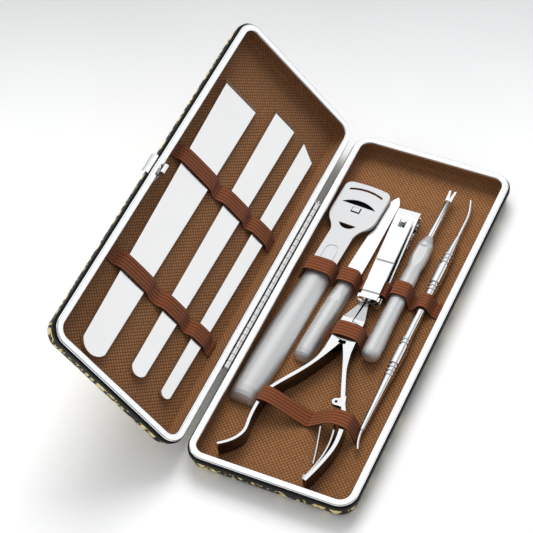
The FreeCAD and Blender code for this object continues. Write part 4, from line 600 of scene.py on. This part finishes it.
KNIFE_RISE = 2.75
KNIFE_STRAPS = {
    "knife_strap_upper": (20.0, [
        Loop(-17.97, 9.86, 12.88, KNIFE_RISE), Loop(7.6, 6.33, 9.36, KNIFE_RISE),
        Loop(25.79, 4.42, 7.44, KNIFE_RISE)]),
    "knife_strap_lower": (-45.51, [
        Loop(-17.11, 8.33, 11.36, KNIFE_RISE), Loop(7.54, 5.3, 8.32, KNIFE_RISE),
        Loop(25.1, 3.73, 6.76, KNIFE_RISE)])}
for strap_name, (strap_y, loops) in KNIFE_STRAPS.items():
    weave_strap(strap_name, strap_y, loop_line(-STRAP_END, STRAP_END, loops), lid_point, "lid")
TOOL_STRAP_Y = 17.83
TOOL_LOOPS = [
    Loop(-25.73, 6.34, 7.92, 8.15), Loop(-11.45, 4.0, 5.52, 6.95), Loop(2.22, 6.05, 6.38, 4.7),
    Loop(14.98, 3.7, 5.07, 9.05), Loop(26.71, 1.49, 4.59, 5.55)]
weave_strap("tool_strap", TOOL_STRAP_Y, loop_line(-STRAP_END, STRAP_END, TOOL_LOOPS), base_point, "base")
JAW_STRAP_Y = -13.49
JAW_LOOP = Loop(1.59, 6.05, 7.87, 9.45)
weave_strap("nipper_jaw_strap", JAW_STRAP_Y, loop_line(-7.35, 10.54, [JAW_LOOP]), base_point, "base")
# The strap over the nipper's handles comes up steeply on the left, dips between them and ends on the right
HANDLE_STRAP_Y = -59.49
HANDLE_TOP = 11.9
HANDLE_LINE = [
    (-21.5, 2.4), (-21.5, HANDLE_TOP), (-16.2, HANDLE_TOP), (1.35, STRAP_BED), (3.05, STRAP_BED),
    (13.6, HANDLE_TOP), (21.95, HANDLE_TOP), (25.75, STRAP_BED), (26.7, STRAP_BED)]
weave_strap("nipper_handle_strap", HANDLE_STRAP_Y, HANDLE_LINE, base_point, "base")

# Strap stitching
# Brown polyester thread: short rows of stitches hold the straps down to the lining between the tools.
# Each stitch is a plump bead of thread, lying along its row.
STITCH_HEIGHT = LINING + 0.85
STITCHES = 4
STITCH_PITCH = 1.95
STITCH_RADIUS = 0.22
STITCH_STRETCH = 3.2
TWIST_PITCH = 0.9 * MM
# Spun polyester has a dull silky gloss, and its twist shows as slanting ridges
thread, tree, shader = new_material("polyester_thread", "#5a2a12", 0.0, 0.6)
place = add_node(tree, "ShaderNodeTexCoord").outputs["Object"]
twist = add_node(tree, "ShaderNodeTexWave", {"Vector": place, "Scale": 1 / TWIST_PITCH}, bands_direction="DIAGONAL")
bump = add_node(tree, "ShaderNodeBump", {"Height": twist.outputs["Fac"], "Strength": 0.5, "Distance": 0.1 * MM})
tree.links.new(bump.outputs["Normal"], shader.inputs["Normal"])


def stitch_rows(name, places, point, body):
    """Rows of stitches across a strap. Each place is x and the strap's middle y, in millimetres."""
    bpy.ops.object.select_all(action="DESELECT")
    made = []
    for x, middle_y in places:
        for step in range(STITCHES):
            y = middle_y + (step - (STITCHES - 1) / 2) * STITCH_PITCH
            bpy.ops.mesh.primitive_uv_sphere_add(segments=8, ring_count=6, radius=STITCH_RADIUS * MM)
            stitch = bpy.context.object
            for vertex in stitch.data.vertices:
                right, along, up = vertex.co / MM
                vertex.co = point(x + right, y + along * STITCH_STRETCH, STITCH_HEIGHT + up)
            made.append(stitch)
    for stitch in made:
        stitch.select_set(True)
    bpy.context.view_layer.objects.active = made[0]
    bpy.ops.object.join()
    rows = bpy.context.object
    rows.name = name
    bpy.ops.object.shade_smooth()
    rows.data.materials.append(thread)
    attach(rows, body)


KNIFE_STITCH_LEFT, KNIFE_STITCH_RIGHT = -33.6, 34.2
lid_places = []
for strap_y, loops in KNIFE_STRAPS.values():
    for left, right in zip(loops, loops[1:]):
        lid_places.append(((left.middle + left.foot + right.middle - right.foot) / 2, strap_y))
    lid_places += [(KNIFE_STITCH_LEFT, strap_y), (KNIFE_STITCH_RIGHT, strap_y)]
stitch_rows("lid_strap_stitches", lid_places, lid_point, "lid")
base_places = [(21.4, TOOL_STRAP_Y), (33.0, TOOL_STRAP_Y), (2.2, HANDLE_STRAP_Y), (26.4, HANDLE_STRAP_Y)]
stitch_rows("base_strap_stitches", base_places, base_point, "base")
